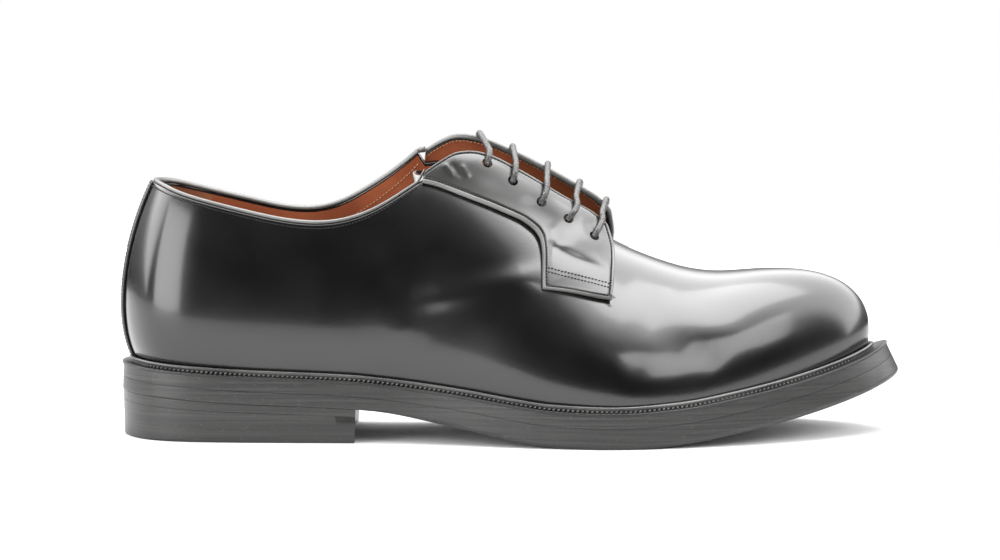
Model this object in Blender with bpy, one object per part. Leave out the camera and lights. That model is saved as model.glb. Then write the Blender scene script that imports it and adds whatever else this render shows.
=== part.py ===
"""Right-foot derby shoe with a storm welt, modelled in its own frame.

X runs from heel to toe, Y to the inner (big toe) side, Z up. The origin is
the middle of the heel's resting face, on the floor. Sizes are millimetres.
"""
import math

import bmesh
import bpy
import numpy as np
from mathutils import Vector

MM = 0.001

# Driving sizes of the last and the upper
last_length = 288.4
ball_width = 96.0
instep_height = 100.0
collar_height = 75.4
heel_rise = 15.0
toe_spring = 22.0
upper_wall = 2.0
clearance = 0.3

# Sole, welt and heel
midsole_thickness = 4.5
outsole_thickness = 8.5
tread_flat = 0.4
layer_round = 0.3
edge_bevel = 1.5
heel_edge_bevel = 0.4
welt_thickness = 1.1
welt_proud = 0.5
bead_width = 1.9
bead_height = 3.3
groove_depth = 0.3
heel_length = 92.0
heel_taper = 0.5
heel_breast_hollow = 2.0
insole_thickness = 3.0
back_overhang = 4.3

# Facings, trim, tongue and lace
facing_thickness = 2.1
facing_stand = 10.0
binding_thickness = 1.3
binding_width = 2.8
strip_width = 11.0
strip_thickness = 1.0
tongue_thickness = 1.8
tongue_gap = 0.6
tongue_flare = 3.0
tongue_top = 116.0
tongue_end = 198.0
tongue_outer_reach = 27.0
tongue_inner_reach = 21.0
eyelet_diameter = 4.2
lace_diameter = 2.4
lace_sides = 8

# The last, one row for each section from the heel's back to the toe's tip.
# centre, outer_x, inner_x: shares of last_length; outer_y, inner_y: of
# ball_width. A section runs from its foot over a swell and a shoulder to
# the ridge: out is a share of its reach, up a share of its height.
LAST_COLUMNS = ("centre", "outer_x", "outer_y", "inner_x", "inner_y",
                "outer_swell_out", "outer_swell_up", "outer_shoulder_out", "outer_shoulder_up",
                "inner_swell_out", "inner_swell_up", "inner_shoulder_out", "inner_shoulder_up",
                "overhang")
LAST = (
    (0.103, 0.007, 0.000, 0.007, 0.000, 1.58, 0.23, 0.90, 0.87, 1.58, 0.23, 0.90, 0.87, 1.46),
    (0.105, 0.025, -0.167, 0.025, 0.167, 1.52, 0.23, 0.90, 0.88, 1.52, 0.23, 0.90, 0.88, 1.42),
    (0.115, 0.070, -0.265, 0.070, 0.263, 1.42, 0.24, 0.90, 0.91, 1.41, 0.24, 0.90, 0.91, 1.34),
    (0.168, 0.158, -0.300, 0.158, 0.292, 1.34, 0.25, 0.89, 0.93, 1.34, 0.25, 0.89, 0.93, 1.32),
    (0.269, 0.269, -0.311, 0.269, 0.294, 1.30, 0.26, 0.87, 0.94, 1.32, 0.27, 0.89, 0.95, 1.32),
    (0.373, 0.373, -0.337, 0.373, 0.275, 1.24, 0.28, 0.90, 0.98, 1.40, 0.28, 0.98, 0.98, 1.30),
    (0.471, 0.471, -0.408, 0.471, 0.275, 1.21, 0.32, 0.73, 0.99, 1.48, 0.32, 0.90, 1.00, 1.35),
    (0.568, 0.568, -0.487, 0.568, 0.340, 1.19, 0.37, 0.49, 1.00, 1.42, 0.38, 0.68, 1.00, 1.35),
    (0.665, 0.665, -0.514, 0.665, 0.448, 1.11, 0.42, 0.45, 1.00, 1.22, 0.44, 0.52, 1.00, 1.35),
    (0.755, 0.755, -0.448, 0.755, 0.484, 1.07, 0.48, 0.52, 1.00, 1.10, 0.50, 0.56, 1.00, 1.40),
    (0.820, 0.838, -0.344, 0.849, 0.443, 1.07, 0.52, 0.62, 1.00, 1.08, 0.53, 0.64, 1.00, 1.55),
    (0.858, 0.924, -0.180, 0.936, 0.322, 1.10, 0.55, 0.72, 1.00, 1.10, 0.55, 0.73, 1.00, 1.72),
    (0.874, 0.978, -0.036, 0.982, 0.208, 1.13, 0.57, 0.80, 1.00, 1.13, 0.57, 0.80, 1.00, 1.82),
    (0.880, 1.000, 0.092, 1.000, 0.092, 1.14, 0.57, 0.83, 1.00, 1.14, 0.57, 0.83, 1.00, 1.86),
)

# Seat line of the midsole's top: share of last_length, share of heel_rise
REAR_COLUMNS = ("along", "rise")
REAR = (
    (-0.015, 1.000), (0.141, 0.820), (0.297, 0.690), (0.339, 0.620), (0.450, 0.367),
    (0.516, 0.173), (0.568, 0.053), (0.651, 0.000), (0.720, 0.000),
)
# The same line before the ball: share of last_length, share of toe_spring
FRONT_COLUMNS = ("along", "spring")
FRONT = (
    (0.580, 0.000), (0.651, 0.000), (0.737, 0.060), (0.821, 0.227), (0.904, 0.440),
    (0.973, 0.680), (1.001, 0.810), (1.032, 1.000),
)
# Outsole: share of last_length, share of outsole_thickness
TREAD_COLUMNS = ("along", "thickness")
TREAD = (
    (-0.015, 0.60), (0.330, 0.60), (0.450, 0.83), (0.550, 0.97), (0.650, 1.00), (0.800, 0.93), (1.030, 0.88),
)
# Ridge of the last: share of last_length, height share of instep_height, shift share of ball_width
RIDGE_COLUMNS = ("along", "height", "across")
RIDGE = (
    (0.000, 0.990, 0.000), (0.103, 0.994, 0.000), (0.262, 1.017, 0.010), (0.349, 0.977, 0.035),
    (0.436, 0.958, 0.060), (0.491, 0.910, 0.070), (0.550, 0.821, 0.068), (0.623, 0.679, 0.060),
    (0.689, 0.578, 0.045), (0.744, 0.513, 0.040), (0.800, 0.469, 0.040), (0.852, 0.451, 0.045),
    (0.907, 0.418, 0.055),
)
# Collar edge round the heel: row of LAST, outer and inner height shares of collar_height
COLLAR_COLUMNS = ("row", "outer", "inner")
COLLAR = (
    (0.0, 1.000, 1.000), (1.0, 0.984, 0.987), (2.0, 0.940, 0.953), (3.0, 0.872, 0.883),
    (4.0, 0.838, 0.872), (4.5, 0.905, 0.992), (5.0, 1.036, 1.158), (5.17, 1.085, 1.225),
)
# Throat of the body, under the facings: share of last_length, reaches from the ridge as shares of ball_width
THROAT_COLUMNS = ("along", "outer", "inner")
THROAT = (
    (0.396, 0.252, 0.140), (0.418, 0.240, 0.128), (0.440, 0.252, 0.130), (0.477, 0.271, 0.133),
    (0.512, 0.266, 0.133), (0.550, 0.266, 0.136), (0.585, 0.266, 0.146), (0.609, 0.263, 0.151),
    (0.623, 0.255, 0.150), (0.630, 0.229, 0.135), (0.6353, 0.156, 0.095), (0.6377, 0.083, 0.050),
    (0.6387, 0.000, 0.000),
)
# Facings, one row for each station from the top corner down to the tab's front corner.
# seam_x and edge_x: shares of last_length; seam_up: height over the seat, of instep_height;
# edge_outer and edge_inner: place of the free edge across the last, of ball_width;
# stand_outer and stand_inner: how far the free edge stands off the body, of facing_stand.
FACING_COLUMNS = ("seam_x", "seam_up", "edge_x", "edge_outer", "edge_inner", "stand_outer", "stand_inner")
FACING = (
    (0.3930, 0.795, 0.3960, -0.190, 0.165, 0.02, 0.05),
    (0.4090, 0.790, 0.4165, -0.155, 0.135, 0.15, 0.15),
    (0.4255, 0.780, 0.4380, -0.118, 0.105, 0.34, 0.25),
    (0.4463, 0.765, 0.4653, -0.092, 0.088, 0.46, 0.32),
    (0.4671, 0.750, 0.4879, -0.080, 0.083, 0.48, 0.38),
    (0.4948, 0.730, 0.5173, -0.071, 0.083, 0.46, 0.50),
    (0.5225, 0.706, 0.5676, -0.057, 0.083, 0.50, 0.75),
    (0.5420, 0.674, 0.6092, -0.048, 0.083, 0.60, 0.90),
    (0.5510, 0.636, 0.6300, -0.056, 0.088, 0.55, 0.80),
    (0.5538, 0.583, 0.6400, -0.088, 0.110, 0.40, 0.55),
    (0.5541, 0.513, 0.6485, -0.146, 0.156, 0.20, 0.25),
    (0.5548, 0.463, 0.6500, -0.212, 0.218, 0.10, 0.12),
    (0.5954, 0.452, 0.6495, -0.280, 0.281, 0.04, 0.05),
    (0.6470, 0.424, 0.6470, -0.340, 0.330, 0.00, 0.00),
)
# Eyelets, from the top: shares of last_length, reaches from the ridge as shares of ball_width
EYELET_COLUMNS = ("outer_along", "outer_reach", "inner_along", "inner_reach")
EYELETS = (
    (0.4728, 0.192, 0.4610, 0.100), (0.5074, 0.202, 0.5030, 0.100), (0.5463, 0.206, 0.5440, 0.102),
    (0.5820, 0.203, 0.5810, 0.104), (0.6170, 0.208, 0.6170, 0.108),
)


def closed_spline(values):
    """Smooth curve through a ring of evenly numbered rows."""
    values = np.asarray(values, float)
    count = len(values)
    steps = np.arange(count)
    matrix = 4.0 * np.eye(count)
    matrix[steps, (steps - 1) % count] = 1.0
    matrix[steps, (steps + 1) % count] = 1.0
    slopes = np.linalg.solve(matrix, 3.0 * (np.roll(values, -1) - np.roll(values, 1)))

    def curve(place):
        place = np.asarray(place, float)
        row = np.floor(place).astype(int)
        part = place - row
        here = row % count
        after = (row + 1) % count
        return hermite(part, values[here], values[after], slopes[here], slopes[after])

    return curve


def open_spline(places, values):
    """Smooth curve through rows at rising places, straight beyond its ends."""
    places = np.asarray(places, float)
    values = np.asarray(values, float)
    gaps = np.diff(places)
    rises = np.diff(values) / gaps
    count = len(places)
    matrix = np.zeros((count, count))
    right = np.zeros(count)
    matrix[0, :2] = 2.0, 1.0
    right[0] = 3.0 * rises[0]
    matrix[-1, -2:] = 1.0, 2.0
    right[-1] = 3.0 * rises[-1]
    for row in range(1, count - 1):
        matrix[row, row - 1] = gaps[row]
        matrix[row, row] = 2.0 * (gaps[row - 1] + gaps[row])
        matrix[row, row + 1] = gaps[row - 1]
        right[row] = 3.0 * (gaps[row] * rises[row - 1] + gaps[row - 1] * rises[row])
    slopes = np.linalg.solve(matrix, right)

    def curve(place):
        place = np.asarray(place, float)
        inside = np.clip(place, places[0], places[-1])
        row = np.clip(np.searchsorted(places, inside, side="right") - 1, 0, count - 2)
        part = (inside - places[row]) / gaps[row]
        value = hermite(part, values[row], values[row + 1], slopes[row] * gaps[row], slopes[row + 1] * gaps[row])
        value = value + np.minimum(place - places[0], 0.0) * slopes[0]
        return value + np.maximum(place - places[-1], 0.0) * slopes[-1]

    return curve


def hermite(part, start, end, start_slope, end_slope):
    """Cubic between two values with given slopes."""
    square = part * part
    cube = square * part
    return ((2 * cube - 3 * square + 1) * start + (cube - 2 * square + part) * start_slope
            + (3 * square - 2 * cube) * end + (cube - square) * end_slope)


def steady_curve(places, values):
    """Curve through rows at rising places that never swings past them."""
    places = np.asarray(places, float)
    values = np.asarray(values, float)
    gaps = np.diff(places)
    rises = np.diff(values) / gaps
    slopes = np.zeros(len(places))
    for row in range(1, len(places) - 1):
        before, after = rises[row - 1], rises[row]
        if before * after > 0:
            slopes[row] = 2 * before * after / (before + after)
    slopes[0] = rises[0]
    slopes[-1] = rises[-1]

    def curve(place):
        inside = np.clip(np.asarray(place, float), places[0], places[-1])
        row = np.clip(np.searchsorted(places, inside, side="right") - 1, 0, len(places) - 2)
        part = (inside - places[row]) / gaps[row]
        return hermite(part, values[row], values[row + 1], slopes[row] * gaps[row], slopes[row + 1] * gaps[row])

    return curve


def column(table, names, name):
    return [row[names.index(name)] for row in table]


# Curves of the last
toe_row = len(LAST) - 1
rows_round = 2 * toe_row


def ring(outer_name, inner_name):
    """Ring of a column from the heel's back along the outer side to the toe and home."""
    outer = column(LAST, LAST_COLUMNS, outer_name)
    inner = column(LAST, LAST_COLUMNS, inner_name)
    return closed_spline(outer + inner[-2:0:-1])


centre_ring = ring("centre", "centre")
foot_x_ring = ring("outer_x", "inner_x")
foot_y_ring = ring("outer_y", "inner_y")
swell_out_ring = ring("outer_swell_out", "inner_swell_out")
swell_up_ring = ring("outer_swell_up", "inner_swell_up")
shoulder_out_ring = ring("outer_shoulder_out", "inner_shoulder_out")
shoulder_up_ring = ring("outer_shoulder_up", "inner_shoulder_up")
overhang_ring = ring("overhang", "overhang")
rear_curve = steady_curve(column(REAR, REAR_COLUMNS, "along"), column(REAR, REAR_COLUMNS, "rise"))
front_curve = steady_curve(column(FRONT, FRONT_COLUMNS, "along"), column(FRONT, FRONT_COLUMNS, "spring"))
tread_curve = steady_curve(column(TREAD, TREAD_COLUMNS, "along"), column(TREAD, TREAD_COLUMNS, "thickness"))
ridge_height = open_spline(column(RIDGE, RIDGE_COLUMNS, "along"), column(RIDGE, RIDGE_COLUMNS, "height"))
ridge_shift = open_spline(column(RIDGE, RIDGE_COLUMNS, "along"), column(RIDGE, RIDGE_COLUMNS, "across"))

sole_thickness = midsole_thickness + outsole_thickness
heel_centre = 0.5 * heel_length


def share(x):
    """Share of the last's length at x, which is counted from the welt's back."""
    return (np.asarray(x, float) - back_overhang) / last_length


def seat(x):
    """Height of the midsole's top."""
    lifted = heel_rise * rear_curve(share(x)) + toe_spring * front_curve(share(x))
    return lifted + sole_thickness - tread_flat


def seat_slope(x):
    return (seat(x + 0.5) - seat(x - 0.5)) / 1.0


def ridge(x):
    """Height of the last's ridge, as if the collar and throat were closed."""
    return seat(x) + instep_height * ridge_height(share(x))


def section(turn, up):
    """Outer face of the upper: turn counts rows of LAST round the shoe, up runs from foot to ridge."""
    turn = np.asarray(turn, float)
    up = np.asarray(up, float)
    turn, up = np.broadcast_arrays(turn, up)
    centre_x = back_overhang + last_length * centre_ring(turn)
    centre_y = ball_width * ridge_shift(share(centre_x))
    foot_x = back_overhang + last_length * foot_x_ring(turn)
    foot_y = ball_width * foot_y_ring(turn)
    foot_z = seat(foot_x) + clearance
    top_z = ridge(centre_x)
    slope = ridge(centre_x + 0.5) - ridge(centre_x - 0.5)
    height = top_z - foot_z
    shoulder_out = shoulder_out_ring(turn)
    swell_z = foot_z + swell_up_ring(turn) * height
    shoulder_z = foot_z + shoulder_up_ring(turn) * height + slope * (foot_x - centre_x) * shoulder_out
    down = 1.0 - up
    out = down ** 3 + 3 * down ** 2 * up * swell_out_ring(turn) + 3 * down * up ** 2 * shoulder_out
    z = down ** 3 * foot_z + 3 * down ** 2 * up * swell_z + 3 * down * up ** 2 * shoulder_z + up ** 3 * top_z
    x = centre_x + (foot_x - centre_x) * out
    y = centre_y + (foot_y - centre_y) * out
    return np.stack((x, y, z), axis=-1)


def section_normal(turn, up):
    """Outward direction of the upper's outer face."""
    step = 0.002
    along = section(turn + step, up) - section(turn - step, up)
    upward = section(turn, up + step) - section(turn, up - step)
    normal = np.cross(along, upward)
    normal = normal / np.maximum(np.linalg.norm(normal, axis=-1, keepdims=True), 1e-12)
    centre_x = back_overhang + last_length * centre_ring(turn)
    slope = (ridge(centre_x + 0.5) - ridge(centre_x - 0.5)) + 0.0 * np.asarray(up, float)
    crown = np.stack((-slope, 0.0 * slope, 1.0 + 0.0 * slope), axis=-1)
    crown = crown / np.linalg.norm(crown, axis=-1, keepdims=True)
    on_ridge = (np.asarray(up, float) > 0.9999)[..., None]
    return np.where(on_ridge, crown, normal)


def skin(turn, up, out=0.0):
    """Point that stands out from the upper's outer face by a distance."""
    turn, up, out = np.broadcast_arrays(np.asarray(turn, float), np.asarray(up, float), np.asarray(out, float))
    return section(turn, up) + section_normal(turn, up) * out[..., None]


def find_up(turn, passed):
    """Share of the section, from the foot, at which a test of the point first holds."""
    turn = np.asarray(turn, float)
    low = np.zeros_like(turn)
    high = np.ones_like(turn)
    for _ in range(40):
        middle = 0.5 * (low + high)
        past = passed(section(turn, middle))
        high = np.where(past, middle, high)
        low = np.where(past, low, middle)
    return high


def up_at_height(turn, z):
    return find_up(turn, lambda point: point[..., 2] >= z)


def up_at_reach(turn, reach):
    """Share of the section, over its swell, at which it is within a reach of the ridge."""
    turn = np.asarray(turn, float)
    centre_x = back_overhang + last_length * centre_ring(turn)
    centre_y = ball_width * ridge_shift(share(centre_x))

    def passed(point):
        distance = np.hypot(point[..., 0] - centre_x, point[..., 1] - centre_y)
        return (distance <= reach) & (point[..., 2] > seat(centre_x) + 0.3 * instep_height * ridge_height(share(centre_x)))

    return find_up(turn, passed)


def turn_at(x, side):
    """Turn at which the ridge of a section is at x; side -1 is the outer side, 1 the inner."""
    x = np.asarray(x, float)
    low = np.full_like(x, 2.0)
    high = np.full_like(x, float(toe_row))
    for _ in range(40):
        middle = 0.5 * (low + high)
        past = back_overhang + last_length * centre_ring(middle) >= x
        high = np.where(past, middle, high)
        low = np.where(past, low, middle)
    return np.where(side < 0, high, rows_round - high)


# Places round the shoe
collar_row = COLLAR[-1][0]
throat_x = back_overhang + last_length * np.array(column(THROAT, THROAT_COLUMNS, "along"))
throat_turns = np.interp(np.linspace(0, 1, 16), np.linspace(0, 1, len(THROAT)), turn_at(throat_x, -1))
half_turns = np.concatenate((
    np.linspace(0.0, collar_row, 14)[:-1],
    throat_turns,
    np.linspace(throat_turns[-1], toe_row, 16)[1:],
))
throat_end = throat_turns[-1]
round_turns = np.concatenate((half_turns, rows_round - half_turns[-2:0:-1]))
wall_rows = 10


def body_edge(turn):
    """Share of each section at which the body ends: collar, throat or, before them, the ridge."""
    turn = np.asarray(turn, float)
    side_name = np.where(turn <= toe_row, "outer", "inner")
    mirrored = np.where(turn <= toe_row, turn, rows_round - turn)
    edge = np.ones_like(turn)
    for name in ("outer", "inner"):
        collar = open_spline(column(COLLAR, COLLAR_COLUMNS, "row"), column(COLLAR, COLLAR_COLUMNS, name))
        throat = steady_curve(throat_x, column(THROAT, THROAT_COLUMNS, name))
        mine = side_name == name
        on_collar = mine & (mirrored < collar_row - 0.001)
        on_throat = mine & ~on_collar & (mirrored < throat_end - 0.0001)
        centre_x = back_overhang + last_length * centre_ring(turn)
        rim_z = seat(centre_x) + collar_height * collar(mirrored) - binding_thickness - clearance
        edge = np.where(on_collar, up_at_height(turn, rim_z), edge)
        edge = np.where(on_throat, up_at_reach(turn, ball_width * throat(centre_x)), edge)
    return edge


def edge_plan(turn, out):
    """Plan point that stands out from the feather edge, with no height."""
    turn = np.asarray(turn, float)
    step = 0.002
    run_x = last_length * (foot_x_ring(turn + step) - foot_x_ring(turn - step))
    run_y = ball_width * (foot_y_ring(turn + step) - foot_y_ring(turn - step))
    length = np.hypot(run_x, run_y)
    x = back_overhang + last_length * foot_x_ring(turn) + out * run_y / length
    y = ball_width * foot_y_ring(turn) - out * run_x / length
    return x, y


def sole_point(turn, depth, inset=0.0):
    """Point on the sole's side: depth is measured square to the seat line, inset in from the edge."""
    x, y = edge_plan(turn, overhang_ring(turn) * back_overhang - inset)
    slope = seat_slope(x)
    length = np.sqrt(1.0 + slope * slope)
    return np.stack((x + depth * slope / length, y, seat(x) - depth / length), axis=-1)


def outsole_depth(turn):
    x, _ = edge_plan(turn, 0.0)
    return midsole_thickness + outsole_thickness * tread_curve(share(x))


def make_material(name, colour, roughness, metallic=0.0):
    material = bpy.data.materials.new(name)
    material.use_nodes = True
    shader = material.node_tree.nodes["Principled BSDF"]
    shader.inputs["Base Color"].default_value = (*colour, 1.0)
    shader.inputs["Roughness"].default_value = roughness
    shader.inputs["Metallic"].default_value = metallic
    material.diffuse_color = (*colour, 1.0)
    return material


def make_object(name, points, faces, material, sharp_angle=math.radians(35)):
    """Object from points in shoe millimetres; coincident points are joined."""
    mesh = bpy.data.meshes.new(name)
    body = bmesh.new()
    corners = [body.verts.new(((x - heel_centre) * MM, y * MM, z * MM)) for x, y, z in points]
    for face in faces:
        body.faces.new([corners[index] for index in face])
    bmesh.ops.remove_doubles(body, verts=body.verts, dist=2e-6)
    bmesh.ops.recalc_face_normals(body, faces=body.faces)
    body.to_mesh(mesh)
    body.free()
    mesh.materials.append(material)
    mesh.shade_smooth()
    mesh.set_sharp_from_angle(angle=sharp_angle)
    piece = bpy.data.objects.new(name, mesh)
    bpy.context.scene.collection.objects.link(piece)
    piece.parent = bpy.data.objects["shoe"]
    return piece


class Solid:
    """Points and faces of one closed body, gathered grid by grid."""

    def __init__(self):
        self.points = []
        self.faces = []

    def add(self, points):
        first = len(self.points)
        self.points.extend(np.asarray(points).reshape(-1, 3))
        return first

    def grid(self, points, closed_across=False):
        """Quads over a grid of points; the first index may run round and close."""
        points = np.asarray(points)
        across, upward = points.shape[:2]
        first = self.add(points)
        last = across if closed_across else across - 1
        for i in range(last):
            for j in range(upward - 1):
                a = first + i * upward + j
                b = first + ((i + 1) % across) * upward + j
                self.faces.append((a, b, b + 1, a + 1))
        return first

    def face(self, *indexes):
        self.faces.append(indexes)


def make_upper(material):
    """Body of the upper: vamp and quarters in one, hollow, open at collar, throat and foot."""
    edge = body_edge(round_turns)
    closed = edge > 0.9999
    rows = np.linspace(0.0, 1.0, wall_rows + 1)
    up = edge[:, None] * rows[None, :]
    turn = np.repeat(round_turns[:, None], wall_rows + 1, axis=1)
    outer = skin(turn, up)
    inner = skin(turn, up, -upper_wall)
    foot_x, foot_y = edge_plan(round_turns, -upper_wall)
    inner[:, 0, 0] = foot_x
    inner[:, 0, 1] = foot_y
    inner[:, 0, 2] = seat(foot_x) + clearance
    solid = Solid()
    outside = solid.grid(outer, closed_across=True)
    inside = solid.grid(inner, closed_across=True)
    height = wall_rows + 1
    count = len(round_turns)
    for i in range(count):
        j = (i + 1) % count
        solid.face(outside + i * height, outside + j * height, inside + j * height, inside + i * height)
        if not (closed[i] and closed[j]):
            top = wall_rows
            solid.face(outside + i * height + top, outside + j * height + top,
                       inside + j * height + top, inside + i * height + top)
    return make_object("upper", solid.points, solid.faces, material)


def plate(name, rings, material):
    """Solid between a stack of rings round the shoe, closed by cross strips at its top and bottom."""
    count = len(round_turns)
    half = len(half_turns)
    solid = Solid()
    first = solid.grid(np.stack(rings, axis=1), closed_across=True)
    height = len(rings)
    for level in (0, height - 1):
        for i in range(half - 1):
            a = first + i * height + level
            b = first + (i + 1) * height + level
            c = first + ((count - i - 1) % count) * height + level
            d = first + ((count - i) % count) * height + level
            ends = [a, b] if b == c else [a, b, c]
            if d != a:
                ends.append(d)
            solid.face(*ends)
    return make_object(name, solid.points, solid.faces, material)


def make_midsole(material):
    bottom = midsole_thickness - clearance
    rings = [sole_point(round_turns, 0.0, layer_round), sole_point(round_turns, layer_round),
             sole_point(round_turns, bottom - layer_round), sole_point(round_turns, bottom, layer_round)]
    return plate("midsole", rings, material)


def make_outsole(material):
    depth = outsole_depth(round_turns)
    x, _ = edge_plan(round_turns, 0.0)
    bevel = np.interp(x, (heel_length, heel_length + 12.0), (heel_edge_bevel, edge_bevel))
    rings = [sole_point(round_turns, midsole_thickness, layer_round),
             sole_point(round_turns, midsole_thickness + layer_round),
             sole_point(round_turns, depth - bevel), sole_point(round_turns, depth, bevel)]
    for ring_points in rings:
        ring_points[:, 2] = np.maximum(ring_points[:, 2], 0.0)
    return plate("outsole", rings, material)


def make_insole(material):
    x, y = edge_plan(round_turns, -(upper_wall + 0.5))
    base = seat(x) + clearance
    rings = [np.stack((x, y, base + insole_thickness), axis=-1), np.stack((x, y, base), axis=-1)]
    return plate("insole", rings, material)


def make_welt(material):
    """Storm welt: a flat ledge with a stitch groove and a rounded bead against the upper."""
    x, _ = edge_plan(round_turns, 0.0)
    proud = welt_proud * np.interp(x, (0.0, heel_length, heel_length + 30.0), (1.0, 0.8, 0.2))
    reach = overhang_ring(round_turns) * back_overhang

    def at_reach(out, rise):
        plan_x, plan_y = edge_plan(round_turns, out)
        return np.stack((plan_x, plan_y, seat(plan_x) + clearance + rise), axis=-1)

    def at_upper(rise, out):
        up = find_up(round_turns, lambda point: point[..., 2] >= seat(point[..., 0]) + clearance + rise)
        flat = section_normal(round_turns, up) * np.array((1.0, 1.0, 0.0))
        flat = flat / np.linalg.norm(flat, axis=-1, keepdims=True)
        point = skin(round_turns, up) + flat * out
        point[:, 2] = seat(point[:, 0]) + clearance + rise
        return point

    rings = [
        at_upper(0.0, clearance),
        at_upper(bead_height - 0.6, clearance),
        at_upper(bead_height, clearance + 0.5 * bead_width),
        at_upper(bead_height - 0.9, clearance + bead_width),
        at_upper(welt_thickness - groove_depth, clearance + bead_width + 0.5),
        at_reach(reach - 0.9, welt_thickness),
        at_reach(reach + proud, welt_thickness - 0.3),
        at_reach(reach + proud, 0.0),
    ]
    solid = Solid()
    stacked = np.stack(rings + rings[:1], axis=1)
    solid.grid(stacked, closed_across=True)
    return make_object("welt", solid.points, solid.faces, material)


def make_heel(material):
    """Stacked heel block: follows the outsole above, stands flat on the floor."""
    breast_turn = turn_at_edge(heel_length)
    turns = np.concatenate((half_turns[half_turns < breast_turn - 0.03], [breast_turn]))
    depth = outsole_depth(turns)
    outer = sole_point(turns, depth, heel_edge_bevel)
    inner_turns = rows_round - turns
    inner = sole_point(inner_turns, outsole_depth(inner_turns), heel_edge_bevel)
    outer[-1, 0] = heel_length
    inner[-1, 0] = heel_length
    across = np.linspace(outer[-1, 1], inner[-1, 1], 5)[1:-1]
    hollow = heel_length - heel_breast_hollow * np.array((0.75, 1.0, 0.75))
    sole_under = outer[-1, 2] + (hollow - heel_length) * seat_slope(heel_length)
    breast = np.stack((hollow, across, sole_under), axis=-1)
    loop = np.concatenate((outer, breast, inner[:0:-1]))
    top = loop - np.array((0.0, 0.0, clearance))
    middle = np.array((0.5 * heel_length, 0.0, 0.0))
    bottom = loop * np.array((1.0, 1.0, 0.0))
    toward = middle - bottom
    toward = toward / np.linalg.norm(toward, axis=-1, keepdims=True)
    bottom = bottom + toward * heel_taper
    foot = bottom + np.array((0.0, 0.0, heel_edge_bevel))
    bottom = bottom + toward * heel_edge_bevel
    solid = Solid()
    rings = (top, foot, bottom)
    first = solid.grid(np.stack(rings, axis=1), closed_across=True)
    count = len(loop)
    half = len(turns)
    for level in (0, 2):
        for i in range(half - 1):
            ends = [i, i + 1, (count - i - 1) % count, (count - i) % count]
            if i == half - 2:
                ends = [i] + list(range(half - 1, half + 4)) + [count - i]
            ends = list(dict.fromkeys(ends))
            solid.face(*[first + end * len(rings) + level for end in ends])
    return make_object("heel", solid.points, solid.faces, material)


def turn_at_edge(x):
    """Turn on the outer side at which the sole's edge reaches x."""
    low, high = 1.0, float(toe_row)
    for _ in range(40):
        middle = 0.5 * (low + high)
        if sole_point(np.array([middle]), 0.0)[0, 0] >= x:
            high = middle
        else:
            low = middle
    return high


def sheet(solid, inner, outer):
    """Closed solid between two grids of the same shape."""
    inner = np.asarray(inner)
    across, upward = inner.shape[:2]
    low = solid.grid(inner)
    high = solid.grid(outer)
    border = [i * upward for i in range(across)]
    border += [(across - 1) * upward + j for j in range(1, upward)]
    border += [i * upward + upward - 1 for i in range(across - 2, -1, -1)]
    border += [j for j in range(upward - 2, 0, -1)]
    for here, after in zip(border, border[1:] + border[:1]):
        solid.face(low + here, low + after, high + after, high + here)


def facing_curves(side):
    """Seam and free edge of a facing as turns, shares and stand-off, by row of FACING."""
    rows = np.arange(len(FACING))
    name = "outer" if side < 0 else "inner"

    def read(column_name):
        return np.array(column(FACING, FACING_COLUMNS, column_name))

    seam_x = back_overhang + last_length * read("seam_x")
    edge_x = back_overhang + last_length * read("edge_x")
    seam_turn = turn_at(seam_x, side)
    edge_turn = turn_at(edge_x, side)
    seam_up = up_at_height(seam_turn, seat(seam_x) + instep_height * read("seam_up"))
    ridge_y = ball_width * ridge_shift(share(edge_x))
    reach = np.abs(ball_width * read("edge_" + name) - ridge_y)
    edge_up = up_at_reach(edge_turn, reach)
    stand = facing_stand * read("stand_" + name)
    return [steady_curve(rows, values) for values in (seam_turn, seam_up, edge_turn, edge_up, stand)]


def facing_point(side, row, part, depth):
    """Point of a facing: row along it, part 0 at the seam to 1 at the free edge, depth 0 at its back."""
    seam_turn, seam_up, edge_turn, edge_up, stand = facing_curves(side)
    row = np.asarray(row, float)
    part = np.asarray(part, float)
    turn = seam_turn(row) + (edge_turn(row) - seam_turn(row)) * part
    up = seam_up(row) + (edge_up(row) - seam_up(row)) * part
    lift = stand(row) * part * part * (3.0 - 2.0 * part)
    return skin(turn, up, clearance + lift + depth)


def facing_normal(side, row, part):
    """Outward direction of a facing's own face, which tilts as it stands off the body."""
    step = 0.02
    along = facing_point(side, row + step, part, 0.0) - facing_point(side, row - step, part, 0.0)
    across = facing_point(side, row, part + step, 0.0) - facing_point(side, row, part - step, 0.0)
    normal = np.cross(along, across) * -side
    return normal / np.linalg.norm(normal)


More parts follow.
